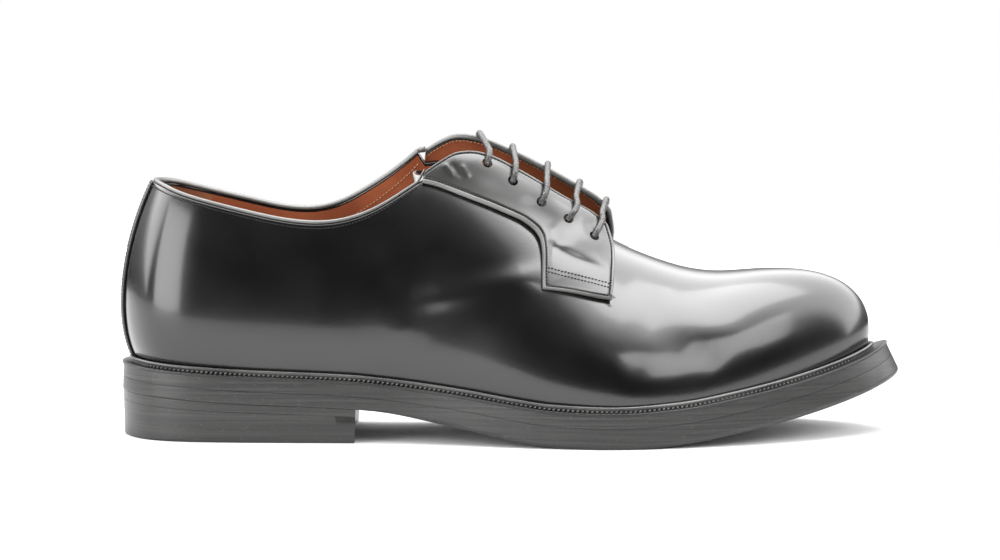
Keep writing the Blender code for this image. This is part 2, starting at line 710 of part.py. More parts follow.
def make_facing(side, name, material):
    """Facing that laps the body from its seam to the free edge, with five lace holes."""
    rows = np.concatenate((np.linspace(0.0, 8.0, 17), np.linspace(8.6, len(FACING) - 1.0, 9)))
    parts = np.array((0.0, 0.18, 0.36, 0.54, 0.72, 0.88, 1.0))
    row = np.repeat(rows[:, None], len(parts), axis=1)
    part = np.repeat(parts[None, :], len(rows), axis=0)
    inner = facing_point(side, row, part, 0.0)
    outer = facing_point(side, row, part, facing_thickness)
    solid = Solid()
    sheet(solid, inner, outer)
    piece = make_object(name, solid.points, solid.faces, material)
    for number, (row, part) in enumerate(eyelet_places(side), start=1):
        middle = facing_point(side, row, part, 0.5 * facing_thickness)
        reach = facing_normal(side, row, part) * 2.0 * facing_thickness
        back = shoe_vector(middle - reach)
        front = shoe_vector(middle + reach)
        bpy.ops.mesh.primitive_cylinder_add(vertices=12, radius=0.5 * eyelet_diameter * MM,
                                            depth=(front - back).length, location=(back + front) / 2)
        cutter = bpy.context.object
        cutter.name = f"{name}_hole_{number}"
        cutter.rotation_euler = (front - back).to_track_quat("Z", "Y").to_euler()
        cutter.parent = bpy.data.objects["shoe"]
        cutter.hide_render = True
        cutter.display_type = "WIRE"
        cut = piece.modifiers.new(cutter.name, "BOOLEAN")
        cut.operation = "DIFFERENCE"
        cut.solver = "EXACT"
        cut.object = cutter
    return piece


def shoe_vector(point):
    x, y, z = point
    return Vector(((x - heel_centre) * MM, y * MM, z * MM))


def eyelet_places(side):
    """Row and part of each lace hole on its facing."""
    name = "outer" if side < 0 else "inner"
    seam_turn, seam_up, edge_turn, edge_up, _ = facing_curves(side)
    places = []
    alongs = column(EYELETS, EYELET_COLUMNS, name + "_along")
    reaches = column(EYELETS, EYELET_COLUMNS, name + "_reach")
    for along, reach in zip(alongs, reaches):
        x = back_overhang + last_length * along
        turn = float(turn_at(x, side))
        up = float(up_at_reach(turn, ball_width * reach))
        rows = np.linspace(1.0, len(FACING) - 3.0, 901)
        direction = edge_turn(rows) - seam_turn(rows)
        rise = edge_up(rows) - seam_up(rows)
        part = (up - seam_up(rows)) / rise
        miss = np.abs(seam_turn(rows) + direction * part - turn)
        best = int(np.argmin(miss + 100.0 * ((part < 0.05) | (part > 1.0))))
        places.append((float(rows[best]), float(part[best])))
    return places


def make_tongue(material):
    """Tongue under the throat: a sheet that follows the inside of the body."""
    xs = np.concatenate((np.linspace(tongue_top, tongue_top + 10.0, 4),
                         np.linspace(tongue_top + 16.0, tongue_end, 12)))
    flare = tongue_flare * np.clip((tongue_top + 9.0 - xs) / 9.0, 0.0, 1.0) ** 2
    grids = []
    for depth in (tongue_thickness, 0.0):
        lines = []
        for side, limit in ((-1, tongue_outer_reach), (1, tongue_inner_reach)):
            turn = turn_at(xs, side)
            edge = up_at_reach(turn, np.full_like(xs, limit))
            parts = np.linspace(0.0, 1.0, 6)
            up = edge[:, None] + (1.0 - edge[:, None]) * parts[None, :]
            spread = np.clip((parts - 0.3) / 0.5, 0.0, 1.0) ** 2
            out = flare[:, None] * spread[None, :] - upper_wall - tongue_gap - depth
            half = skin(np.repeat(turn[:, None], len(parts), axis=1), up, out)
            lines.append(half if side < 0 else half[:, -2::-1])
        grids.append(np.concatenate(lines, axis=1))
    solid = Solid()
    sheet(solid, grids[0], grids[1])
    return make_object("tongue", solid.points, solid.faces, material)


def make_back_strip(material):
    """Narrow strip over the back seam, from the welt to the collar."""
    widths = np.linspace(-0.5 * strip_width, 0.5 * strip_width, 5)
    ring_step = 0.1
    near = section(ring_step, 0.3)[1]
    turns = widths / near * ring_step
    top = float(body_edge(np.array([0.0]))[0])
    bottom = float(up_at_height(np.array([0.0]), seat(0.0) + clearance + bead_height + 0.8)[0])
    ups = np.linspace(bottom, top * 0.995, 13)
    turn, up = np.meshgrid(turns % rows_round, ups, indexing="ij")
    solid = Solid()
    sheet(solid, skin(turn, up, clearance), skin(turn, up, clearance + strip_thickness))
    return make_object("back_strip", solid.points, solid.faces, material)


def make_binding(material):
    """Rolled binding that sits on the collar edge, from one facing round the heel to the other."""
    start = collar_row
    outer_half = np.append(half_turns[half_turns < start - 0.05], start - 0.03)
    turns = np.concatenate((-outer_half[:0:-1], outer_half)) % rows_round
    edge = body_edge(turns)
    rim_out = skin(turns, edge)
    rim_in = skin(turns, edge, -upper_wall)
    step_up = section(turns, edge) - section(turns, edge - 0.01)
    step_up = step_up / np.linalg.norm(step_up, axis=-1, keepdims=True)
    side = section_normal(turns, edge)
    spread = 0.5 * (binding_width - upper_wall)
    middle = 0.5 * (rim_out + rim_in)
    rings = (
        rim_out + side * spread + step_up * clearance,
        rim_out + side * spread + step_up * (clearance + 0.5 * binding_thickness),
        middle + step_up * (clearance + binding_thickness),
        rim_in - side * spread + step_up * (clearance + 0.5 * binding_thickness),
        rim_in - side * spread + step_up * clearance,
    )
    solid = Solid()
    stacked = np.stack(rings + rings[:1], axis=1)
    first = solid.grid(stacked)
    last = first + (len(turns) - 1) * 6
    solid.face(*[first + k for k in range(5)])
    solid.face(*[last + k for k in range(5)])
    return make_object("collar_binding", solid.points, solid.faces, material)


# Route of the lace: rows count from the top eyelet, 1 to 5; sides are outer or inner.
# It runs over the gap as straight bars and under the facings between rows.
LACE_RUNS = (
    ("over", 2, "outer", 2, "inner"), ("under", 2, "inner", 4, "inner"), ("over", 4, "inner", 4, "outer"),
    ("under", 4, "outer", 5, "outer"), ("over", 5, "outer", 5, "inner"), ("under", 5, "inner", 3, "inner"),
    ("over", 3, "inner", 3, "outer"), ("under", 3, "outer", 1, "outer"), ("over", 1, "outer", 1, "inner"),
)
# How far a run that passes a row keeps to the side of its hole, toward the free edge
LACE_PASSING = {("inner", 2, 4): 1.0, ("inner", 5, 3): -1.0, ("outer", 3, 1): 1.0}


def lace_route():
    """Corners of the lace's middle line, from its hidden outer end to its hidden inner end."""
    sides = {"outer": -1, "inner": 1}
    off = 0.5 * lace_diameter + clearance
    places = {name: eyelet_places(side) for name, side in sides.items()}

    def over(name, row, part):
        spot = facing_point(sides[name], row, part, facing_thickness)
        return spot + facing_normal(sides[name], row, part) * off

    def under(name, number, shift=0.0, slide=0.0):
        row, part = places[name][number - 1]
        row = row + slide
        edge = facing_point(sides[name], row, 1.0, 0.0)
        seam = facing_point(sides[name], row, 0.0, 0.0)
        part = part + shift / np.linalg.norm(edge - seam)
        return facing_point(sides[name], row, part, 0.0) - facing_normal(sides[name], row, part) * off

    def climb(name, number):
        """From a lace hole over the facing to its free edge."""
        row, part = places[name][number - 1]
        edge = edge_row(name, number)
        return [over(name, row + (edge - row) * way, part + (1.0 - part) * way) for way in (0.0, 0.35, 0.7, 1.0)]

    side_step = lace_diameter + 0.5
    route = [under("outer", 2, -0.6 * side_step, -0.8)]
    route.append(under("outer", 2))
    for kind, start, start_side, end, end_side in LACE_RUNS:
        if kind == "over":
            route += climb(start_side, start) + climb(end_side, end)[::-1]
            route.append(under(end_side, end))
        else:
            passing = LACE_PASSING.get((start_side, start, end))
            if passing:
                route.append(under(start_side, (start + end) // 2, passing * side_step))
            route.append(under(end_side, end))
    route.append(under("inner", 1, 0.0, -0.7))
    return np.array(route)


def edge_row(name, number):
    """Row of FACING at which the free edge is level with a lace hole."""
    rows = np.arange(1, 9)
    edge_x = np.array(column(FACING, FACING_COLUMNS, "edge_x"))[rows]
    return float(np.interp(EYELETS[number - 1][EYELET_COLUMNS.index(name + "_along")], edge_x, rows))


def rounded_line(corners, radius, step):
    """Line through corners with each corner turned on an arc."""
    points = [corners[0]]
    for before, corner, after in zip(corners, corners[1:], corners[2:]):
        back = before - corner
        ahead = after - corner
        back_length = np.linalg.norm(back)
        ahead_length = np.linalg.norm(ahead)
        back = back / back_length
        ahead = ahead / ahead_length
        bend = math.pi - math.acos(float(np.clip(np.dot(back, ahead), -1.0, 1.0)))
        if bend < 0.05:
            points.append(corner)
            continue
        reach = min(radius * math.tan(0.5 * bend), 0.48 * back_length, 0.48 * ahead_length)
        arc_radius = reach / math.tan(0.5 * bend)
        middle = back + ahead
        middle = middle / np.linalg.norm(middle)
        centre = corner + middle * arc_radius / math.cos(0.5 * bend)
        start = corner + back * reach - centre
        finish = corner + ahead * reach - centre
        pieces = max(1, int(round(bend * arc_radius / step)))
        for index in range(pieces + 1):
            turn = bend * index / pieces
            points.append(centre + (start * math.sin(bend - turn) + finish * math.sin(turn)) / math.sin(bend)
                          if math.sin(bend) > 0.05 else corner)
    points.append(corners[-1])
    return np.array(points)


def tube(name, line, diameter, sides, material):
    """Round cord along a line, turned as little as possible from ring to ring."""
    tangents = np.gradient(line, axis=0)
    tangents = tangents / np.linalg.norm(tangents, axis=1, keepdims=True)
    across = np.cross(tangents[0], (0.0, 0.0, 1.0))
    rings = []
    for spot, tangent in zip(line, tangents):
        across = across - tangent * np.dot(across, tangent)
        across = across / np.linalg.norm(across)
        other = np.cross(tangent, across)
        angles = 2.0 * math.pi * np.arange(sides) / sides
        rings.append(spot + 0.5 * diameter * (np.cos(angles)[:, None] * across + np.sin(angles)[:, None] * other))
    solid = Solid()
    stacked = np.array(rings)
    first = solid.grid(np.concatenate((stacked, stacked[:, :1]), axis=1))
    last = first + (len(line) - 1) * (sides + 1)
    solid.face(*[first + k for k in range(sides)])
    solid.face(*[last + k for k in range(sides)])
    return make_object(name, solid.points, solid.faces, material)


def make_lace(material):
    line = rounded_line(lace_route(), 1.75, 1.6)
    return tube("lace", line, lace_diameter, lace_sides, material)


def clear_scene():
    for item in list(bpy.data.objects):
        bpy.data.objects.remove(item, do_unlink=True)


def main():
    clear_scene()
    shoe = bpy.data.objects.new("shoe", None)
    bpy.context.scene.collection.objects.link(shoe)
    black = make_material("black leather", (0.012, 0.012, 0.013), 0.22)
    edge_black = make_material("black sole edge", (0.02, 0.02, 0.02), 0.4)
    rubber = make_material("black heel", (0.018, 0.018, 0.018), 0.45)
    welt_black = make_material("black welt", (0.03, 0.03, 0.03), 0.35)
    tan = make_material("tan lining leather", (0.30, 0.12, 0.05), 0.6)
    cord = make_material("waxed black cord", (0.02, 0.02, 0.02), 0.5)
    make_upper(black)
    make_midsole(edge_black)
    make_outsole(edge_black)
    make_heel(rubber)
    make_welt(welt_black)
    make_insole(tan)
    make_tongue(black)
    make_facing(-1, "facing_lateral", black)
    make_facing(1, "facing_medial", black)
    make_back_strip(black)
    make_binding(black)
    make_lace(cord)


main()
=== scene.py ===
"""Looks of the derby shoe: finished leather, stitching, welt, lace, light and camera.

The shapes follow the same last as the solids, in millimetres: X to the toe,
counted from the welt's back, Y to the inner side, Z up from the floor.
"""
import math
from functools import lru_cache

import bmesh
import bpy
import numpy as np
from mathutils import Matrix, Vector


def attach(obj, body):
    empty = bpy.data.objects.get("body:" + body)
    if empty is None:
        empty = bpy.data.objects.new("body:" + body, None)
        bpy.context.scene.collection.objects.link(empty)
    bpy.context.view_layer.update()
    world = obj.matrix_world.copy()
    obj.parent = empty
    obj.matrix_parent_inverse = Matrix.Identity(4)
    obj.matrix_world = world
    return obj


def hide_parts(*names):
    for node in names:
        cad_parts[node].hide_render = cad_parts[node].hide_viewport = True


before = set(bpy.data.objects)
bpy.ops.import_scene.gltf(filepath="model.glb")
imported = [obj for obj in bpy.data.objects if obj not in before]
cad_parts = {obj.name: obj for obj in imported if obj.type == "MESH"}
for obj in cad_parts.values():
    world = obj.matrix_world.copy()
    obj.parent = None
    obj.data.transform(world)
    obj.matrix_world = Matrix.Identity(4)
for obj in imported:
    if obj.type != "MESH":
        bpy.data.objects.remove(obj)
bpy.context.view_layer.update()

MM = 0.001


def columns(names, rows):
    """Columns of a table by name."""
    return dict(zip(names, np.array(rows).T))


# Driving sizes of the last and the upper
last_length = 288.4
ball_width = 96.0
instep_height = 100.0
collar_height = 75.4
heel_rise = 15.0
toe_spring = 22.0
upper_wall = 2.0
clearance = 0.3

# Sole, welt and heel
midsole_thickness = 4.5
outsole_thickness = 8.5
tread_flat = 0.4
edge_bevel = 1.5
heel_edge_bevel = 0.4
welt_thickness = 1.1
welt_proud = 0.5
welt_pitch = 1.9
bead_width = 1.9
bead_height = 3.3
heel_length = 92.0
heel_taper = 0.5
heel_breast_hollow = 2.0
insole_thickness = 3.0
back_overhang = 4.3

# Facings, trim, tongue and lace
facing_thickness = 2.1
facing_stand = 10.0
binding_thickness = 1.3
binding_width = 2.8
strip_width = 11.0
strip_thickness = 1.0
tongue_thickness = 1.8
tongue_gap = 0.6
tongue_dip = 12.0
tongue_top = 116.0
tongue_end = 198.0
tongue_outer_reach = 27.0
tongue_inner_reach = 21.0
eyelet_diameter = 4.2
lace_diameter = 2.4
lace_bend = 1.75

# Finish: stitch lines' distance from their edge, the suede counter, the dark band inside the rim
stitch_inset = 1.75
lining_stitch_inset = 3.1
strip_stitch_inset = 1.5
counter_length = 34.0
rim_band = 0.975
ridge_blend = 8.0
closing = 0.002

# Stitches: pitch, length, width and height; the pitch of the welt's is its own
FACING_STITCH = (1.35, 1.0, 0.46, 0.4)
FACING_LINING_STITCH = (1.5, 1.05, 0.45, 0.35)
COLLAR_STITCH = (1.35, 1.0, 0.5, 0.4)
LINING_STITCH = (1.6, 1.1, 0.5, 0.4)
STRIP_STITCH = (1.45, 1.05, 0.5, 0.42)
WELT_STITCH = (1.25, 0.7, 0.6)

# The last, one row for each section from the heel's back to the toe's tip.
# centre, outer_x, inner_x: shares of last_length; outer_y, inner_y: of
# ball_width. A section runs from its foot over a swell and a shoulder to
# the ridge: out is a share of its reach, up a share of its height.
LAST = columns((
    "centre", "outer_x", "outer_y", "inner_x", "inner_y", "outer_swell_out", "outer_swell_up", "outer_shoulder_out",
    "outer_shoulder_up", "inner_swell_out", "inner_swell_up", "inner_shoulder_out", "inner_shoulder_up", "overhang",
), (
    (0.103, 0.007, 0.000, 0.007, 0.000, 1.58, 0.23, 0.90, 0.87, 1.58, 0.23, 0.90, 0.87, 1.46),
    (0.105, 0.025, -0.167, 0.025, 0.167, 1.52, 0.23, 0.90, 0.88, 1.52, 0.23, 0.90, 0.88, 1.42),
    (0.115, 0.070, -0.265, 0.070, 0.263, 1.42, 0.24, 0.90, 0.91, 1.41, 0.24, 0.90, 0.91, 1.34),
    (0.168, 0.158, -0.300, 0.158, 0.292, 1.34, 0.25, 0.89, 0.93, 1.34, 0.25, 0.89, 0.93, 1.32),
    (0.269, 0.269, -0.311, 0.269, 0.294, 1.30, 0.26, 0.87, 0.94, 1.32, 0.27, 0.89, 0.95, 1.32),
    (0.373, 0.373, -0.337, 0.373, 0.275, 1.24, 0.28, 0.90, 0.98, 1.40, 0.28, 0.98, 0.98, 1.30),
    (0.471, 0.471, -0.408, 0.471, 0.275, 1.21, 0.32, 0.73, 0.99, 1.48, 0.32, 0.90, 1.00, 1.35),
    (0.568, 0.568, -0.487, 0.568, 0.340, 1.19, 0.37, 0.49, 1.00, 1.42, 0.38, 0.68, 1.00, 1.35),
    (0.665, 0.665, -0.514, 0.665, 0.448, 1.11, 0.42, 0.45, 1.00, 1.22, 0.44, 0.52, 1.00, 1.35),
    (0.755, 0.755, -0.448, 0.755, 0.484, 1.07, 0.48, 0.52, 1.00, 1.10, 0.50, 0.56, 1.00, 1.40),
    (0.820, 0.838, -0.344, 0.849, 0.443, 1.07, 0.52, 0.62, 1.00, 1.08, 0.53, 0.64, 1.00, 1.55),
    (0.858, 0.924, -0.180, 0.936, 0.322, 1.10, 0.55, 0.72, 1.00, 1.10, 0.55, 0.73, 1.00, 1.72),
    (0.874, 0.978, -0.036, 0.982, 0.208, 1.13, 0.57, 0.80, 1.00, 1.13, 0.57, 0.80, 1.00, 1.82),
    (0.880, 1.000, 0.092, 1.000, 0.092, 1.14, 0.57, 0.83, 1.00, 1.14, 0.57, 0.83, 1.00, 1.86),
))

# Seat line of the midsole's top: share of last_length, share of heel_rise
REAR = (
    (-0.015, 1.000), (0.141, 0.820), (0.297, 0.690), (0.339, 0.620), (0.450, 0.367),
    (0.516, 0.173), (0.568, 0.053), (0.651, 0.000), (0.720, 0.000),
)
# The same line before the ball: share of last_length, share of toe_spring
FRONT = (
    (0.580, 0.000), (0.651, 0.000), (0.737, 0.060), (0.821, 0.227), (0.904, 0.440),
    (0.973, 0.680), (1.001, 0.810), (1.032, 1.000),
)
# Outsole: share of last_length, share of outsole_thickness
TREAD = (
    (-0.015, 0.60), (0.330, 0.60), (0.450, 0.83), (0.550, 0.97), (0.650, 1.00), (0.800, 0.93), (1.030, 0.88),
)
# Ridge of the last: share of last_length, height share of instep_height, shift share of ball_width
RIDGE = (
    (0.000, 0.990, 0.000), (0.103, 0.994, 0.000), (0.262, 1.017, 0.010), (0.349, 0.977, 0.035),
    (0.436, 0.958, 0.060), (0.491, 0.910, 0.070), (0.550, 0.821, 0.068), (0.623, 0.679, 0.060),
    (0.689, 0.578, 0.045), (0.744, 0.513, 0.040), (0.800, 0.469, 0.040), (0.852, 0.451, 0.045),
    (0.907, 0.418, 0.055),
)
# Collar edge round the heel: row of LAST, outer and inner height shares of collar_height
COLLAR = columns(("row", "outer", "inner"), (
    (0.0, 1.000, 1.000), (1.0, 0.984, 0.987), (2.0, 0.940, 0.953), (3.0, 0.872, 0.883),
    (4.0, 0.838, 0.872), (4.5, 0.905, 0.992), (5.0, 1.036, 1.158), (5.17, 1.085, 1.225),
))
# Throat of the body, under the facings: share of last_length, reaches from the ridge as shares of ball_width
THROAT = columns(("along", "outer", "inner"), (
    (0.396, 0.252, 0.140), (0.418, 0.240, 0.128), (0.440, 0.252, 0.130), (0.477, 0.271, 0.133),
    (0.512, 0.266, 0.133), (0.550, 0.266, 0.136), (0.585, 0.266, 0.146), (0.609, 0.263, 0.151),
    (0.623, 0.255, 0.150), (0.630, 0.229, 0.135), (0.6353, 0.156, 0.095), (0.6377, 0.083, 0.050),
    (0.6387, 0.000, 0.000),
))
# Facings, one row for each station from the top corner down to the tab's front corner.
# seam_x and edge_x: shares of last_length; seam_up: height over the seat, of instep_height;
# edge_outer and edge_inner: place of the free edge across the last, of ball_width;
# stand_outer and stand_inner: how far the free edge stands off the body, of facing_stand.
FACING = columns(("seam_x", "seam_up", "edge_x", "edge_outer", "edge_inner", "stand_outer", "stand_inner"), (
    (0.3930, 0.795, 0.3960, -0.190, 0.165, 0.02, 0.05),
    (0.4090, 0.790, 0.4165, -0.155, 0.135, 0.15, 0.15),
    (0.4255, 0.780, 0.4380, -0.118, 0.105, 0.34, 0.25),
    (0.4463, 0.765, 0.4653, -0.092, 0.088, 0.46, 0.32),
    (0.4671, 0.750, 0.4879, -0.080, 0.083, 0.48, 0.38),
    (0.4948, 0.730, 0.5173, -0.071, 0.083, 0.46, 0.50),
    (0.5225, 0.706, 0.5676, -0.057, 0.083, 0.50, 0.75),
    (0.5420, 0.674, 0.6092, -0.048, 0.083, 0.60, 0.90),
    (0.5510, 0.636, 0.6300, -0.056, 0.088, 0.55, 0.80),
    (0.5538, 0.583, 0.6400, -0.088, 0.110, 0.40, 0.55),
    (0.5541, 0.513, 0.6485, -0.146, 0.156, 0.20, 0.25),
    (0.5548, 0.463, 0.6500, -0.212, 0.218, 0.10, 0.12),
    (0.5954, 0.452, 0.6495, -0.280, 0.281, 0.04, 0.05),
    (0.6470, 0.424, 0.6470, -0.340, 0.330, 0.00, 0.00),
))
# Eyelets, from the top: shares of last_length, reaches from the ridge as shares of ball_width
EYELETS = columns(("outer_along", "outer_reach", "inner_along", "inner_reach"), (
    (0.4728, 0.192, 0.4610, 0.100), (0.5074, 0.202, 0.5030, 0.100), (0.5463, 0.206, 0.5440, 0.102),
    (0.5820, 0.203, 0.5810, 0.104), (0.6170, 0.208, 0.6170, 0.108),
))


def closed_spline(values):
    """Smooth curve through a ring of evenly numbered rows."""
    values = np.asarray(values, float)
    number = len(values)
    steps = np.arange(number)
    matrix = 4.0 * np.eye(number)
    matrix[steps, (steps - 1) % number] = 1.0
    matrix[steps, (steps + 1) % number] = 1.0
    slopes = np.linalg.solve(matrix, 3.0 * (np.roll(values, -1) - np.roll(values, 1)))

    def curve(place):
        place = np.asarray(place, float)
        row = np.floor(place).astype(int)
        part = place - row
        here = row % number
        after = (row + 1) % number
        return hermite(part, values[here], values[after], slopes[here], slopes[after])

    return curve


def open_spline(places, values):
    """Smooth curve through rows at rising places, straight beyond its ends."""
    places = np.asarray(places, float)
    values = np.asarray(values, float)
    gaps = np.diff(places)
    rises = np.diff(values) / gaps
    number = len(places)
    matrix = np.zeros((number, number))
    right = np.zeros(number)
    matrix[0, :2] = 2.0, 1.0
    right[0] = 3.0 * rises[0]
    matrix[-1, -2:] = 1.0, 2.0
    right[-1] = 3.0 * rises[-1]
    for row in range(1, number - 1):
        matrix[row, row - 1] = gaps[row]
        matrix[row, row] = 2.0 * (gaps[row - 1] + gaps[row])
        matrix[row, row + 1] = gaps[row - 1]
        right[row] = 3.0 * (gaps[row] * rises[row - 1] + gaps[row - 1] * rises[row])
    slopes = np.linalg.solve(matrix, right)

    def curve(place):
        place = np.asarray(place, float)
        value = cubic_at(place, places, values, slopes)
        value = value + np.minimum(place - places[0], 0.0) * slopes[0]
        return value + np.maximum(place - places[-1], 0.0) * slopes[-1]

    return curve


def hermite(part, start, end, start_slope, end_slope):
    """Cubic between two values with given slopes."""
    square = part * part
    cube = square * part
    return ((2 * cube - 3 * square + 1) * start + (cube - 2 * square + part) * start_slope
            + (3 * square - 2 * cube) * end + (cube - square) * end_slope)


def cubic_at(place, places, values, slopes):
    """Value of a cubic through rows at rising places, held at its ends."""
    inside = np.clip(place, places[0], places[-1])
    row = np.clip(np.searchsorted(places, inside, side="right") - 1, 0, len(places) - 2)
    gap = places[row + 1] - places[row]
    part = (inside - places[row]) / gap
    return hermite(part, values[row], values[row + 1], slopes[row] * gap, slopes[row + 1] * gap)


def steady_curve(places, values):
    """Curve through rows at rising places that never swings past them."""
    places = np.asarray(places, float)
    values = np.asarray(values, float)
    gaps = np.diff(places)
    rises = np.diff(values) / gaps
    slopes = np.zeros(len(places))
    for row in range(1, len(places) - 1):
        before, after = rises[row - 1], rises[row]
        if before * after > 0:
            slopes[row] = 2 * before * after / (before + after)
    slopes[0] = rises[0]
    slopes[-1] = rises[-1]

    return lambda place: cubic_at(np.asarray(place, float), places, values, slopes)


def unit(vectors):
    return vectors / np.maximum(np.linalg.norm(vectors, axis=-1, keepdims=True), 1e-12)


def ease(value):
    """Soft start and end between 0 and 1."""
    return value * value * (3.0 - 2.0 * value)


def run_along(points):
    """Length of a line up to each of its points."""
    return np.concatenate(([0.0], np.cumsum(np.linalg.norm(np.diff(points, axis=0), axis=1))))


def points_at(places, run, points):
    """Points of a line at given lengths along it."""
    return np.stack([np.interp(places, run, points[:, k]) for k in range(points.shape[1])], axis=-1)


# Curves of the last
toe_row = len(LAST["centre"]) - 1
rows_round = 2 * toe_row
collar_row = COLLAR["row"][-1]
last_station = len(FACING["seam_x"]) - 1.0


def ring(outer, inner):
    """Ring of a column from the heel's back along the outer side to the toe and home."""
    return closed_spline(np.concatenate((LAST[outer], LAST[inner][-2:0:-1])))


centre_ring = ring("centre", "centre")
overhang_ring = ring("overhang", "overhang")
foot_x_ring, foot_y_ring, swell_out_ring, swell_up_ring, shoulder_out_ring, shoulder_up_ring = (
    ring("outer_" + name, "inner_" + name)
    for name in ("x", "y", "swell_out", "swell_up", "shoulder_out", "shoulder_up"))
rear_curve, front_curve, tread_curve = (steady_curve(*np.array(table).T) for table in (REAR, FRONT, TREAD))
ridge_along, *ridge_columns = np.array(RIDGE).T
ridge_height, ridge_shift = (open_spline(ridge_along, values) for values in ridge_columns)

sole_thickness = midsole_thickness + outsole_thickness
heel_centre = 0.5 * heel_length


def share(x):
    """Share of the last's length at x, which is counted from the welt's back."""
    return (np.asarray(x, float) - back_overhang) / last_length


def x_at(part):
    """Place along the shoe at a share of the last's length."""
    return back_overhang + last_length * part


def seat(x):
    """Height of the midsole's top."""
    lifted = heel_rise * rear_curve(share(x)) + toe_spring * front_curve(share(x))
    return lifted + sole_thickness - tread_flat


def seat_slope(x):
    return seat(x + 0.5) - seat(x - 0.5)


def ridge(x):
    """Height of the last's ridge, as if the collar and throat were closed."""
    return seat(x) + instep_height * ridge_height(share(x))


def ridge_slope(x):
    return ridge(x + 0.5) - ridge(x - 0.5)


def ridge_y(x):
    return ball_width * ridge_shift(share(x))


def section(turn, up):
    """Outer face of the upper: turn counts rows of LAST round the shoe, up runs from foot to ridge."""
    turn, up = np.broadcast_arrays(np.asarray(turn, float), np.asarray(up, float))
    centre_x = x_at(centre_ring(turn))
    centre_y = ridge_y(centre_x)
    foot_x = x_at(foot_x_ring(turn))
    foot_y = ball_width * foot_y_ring(turn)
    foot_z = seat(foot_x) + clearance
    top_z = ridge(centre_x)
    height = top_z - foot_z
    shoulder_out = shoulder_out_ring(turn)
    swell_z = foot_z + swell_up_ring(turn) * height
    shoulder_z = foot_z + shoulder_up_ring(turn) * height + ridge_slope(centre_x) * (foot_x - centre_x) * shoulder_out
    down = 1.0 - up
    swell, shoulder = 3 * down ** 2 * up, 3 * down * up ** 2
    out = down ** 3 + swell * swell_out_ring(turn) + shoulder * shoulder_out
    z = down ** 3 * foot_z + swell * swell_z + shoulder * shoulder_z + up ** 3 * top_z
    return np.stack((centre_x + (foot_x - centre_x) * out, centre_y + (foot_y - centre_y) * out, z), axis=-1)


def section_normal(turn, up):
    """Outward direction of the upper's outer face."""
    step = 0.002
    forward = section(turn + step, up) - section(turn - step, up)
    upward = section(turn, up + step) - section(turn, up - step)
    slope = ridge_slope(x_at(centre_ring(turn))) + 0.0 * np.asarray(up, float)
    crown = unit(np.stack((-slope, 0.0 * slope, 1.0 + 0.0 * slope), axis=-1))
    on_ridge = (np.asarray(up, float) > 0.9999)[..., None]
    return np.where(on_ridge, crown, unit(np.cross(forward, upward)))


def skin(turn, up, out=0.0):
    """Point that stands out from the upper's outer face by a distance."""
    turn, up, out = np.broadcast_arrays(np.asarray(turn, float), np.asarray(up, float), np.asarray(out, float))
    return section(turn, up) + section_normal(turn, up) * out[..., None]


def first_past(low, high, passed):
    """Places between low and high at which a test first holds, by halving."""
    for _ in range(40):
        middle = 0.5 * (low + high)
        past = passed(middle)
        high = np.where(past, middle, high)
        low = np.where(past, low, middle)
    return high


def find_up(turn, passed):
    """Share of the section, from the foot, at which a test of the point first holds."""
    turn = np.asarray(turn, float)
    return first_past(np.zeros_like(turn), np.ones_like(turn), lambda up: passed(section(turn, up)))


def up_at_height(turn, z):
    return find_up(turn, lambda point: point[..., 2] >= z)


def up_at_reach(turn, reach):
    """Share of the section, over its swell, at which it is within a reach of the ridge."""
    centre_x = x_at(centre_ring(np.asarray(turn, float)))
    centre_y = ridge_y(centre_x)
    over_swell = seat(centre_x) + 0.3 * instep_height * ridge_height(share(centre_x))

    def passed(point):
        distance = np.hypot(point[..., 0] - centre_x, point[..., 1] - centre_y)
        return (distance <= reach) & (point[..., 2] > over_swell)

    return find_up(turn, passed)


def turn_at(x, side):
    """Turn at which the ridge of a section is at x; side -1 is the outer side, 1 the inner."""
    x = np.asarray(x, float)
    turn = first_past(np.full_like(x, 2.0), np.full_like(x, float(toe_row)), lambda row: x_at(centre_ring(row)) >= x)
    return np.where(side < 0, turn, rows_round - turn)


def stretched(values, number):
    """Values read at a number of evenly spaced places."""
    return np.interp(np.linspace(0, 1, number), np.linspace(0, 1, len(values)), values)


throat_x = x_at(THROAT["along"])
throat_turns = stretched(turn_at(throat_x, -1), 16)
throat_end = throat_turns[-1]


def body_edge(turn):
    """Share of each section at which the body ends: collar, throat or, before them, the ridge."""
    turn = np.asarray(turn, float)
    mirrored = np.where(turn <= toe_row, turn, rows_round - turn)
    centre_x = x_at(centre_ring(turn))
    edge = np.ones_like(turn)
    for name, mine in (("outer", turn <= toe_row), ("inner", turn > toe_row)):
        collar = open_spline(COLLAR["row"], COLLAR[name])
        throat = steady_curve(throat_x, THROAT[name])
        on_collar = mine & (mirrored < collar_row - 0.001)
        on_throat = mine & ~on_collar & (mirrored < throat_end - 0.0001)
        rim_z = seat(centre_x) + collar_height * collar(mirrored) - binding_thickness - clearance
        edge = np.where(on_collar, up_at_height(turn, rim_z), edge)
        edge = np.where(on_throat, up_at_reach(turn, ball_width * throat(centre_x)), edge)
    return edge


def edge_plan(turn, out):
    """Plan point that stands out from the feather edge, with no height."""
    turn = np.asarray(turn, float)
    step = 0.002
    run_x = last_length * (foot_x_ring(turn + step) - foot_x_ring(turn - step))
    run_y = ball_width * (foot_y_ring(turn + step) - foot_y_ring(turn - step))
    length = np.hypot(run_x, run_y)
    return x_at(foot_x_ring(turn)) + out * run_y / length, ball_width * foot_y_ring(turn) - out * run_x / length


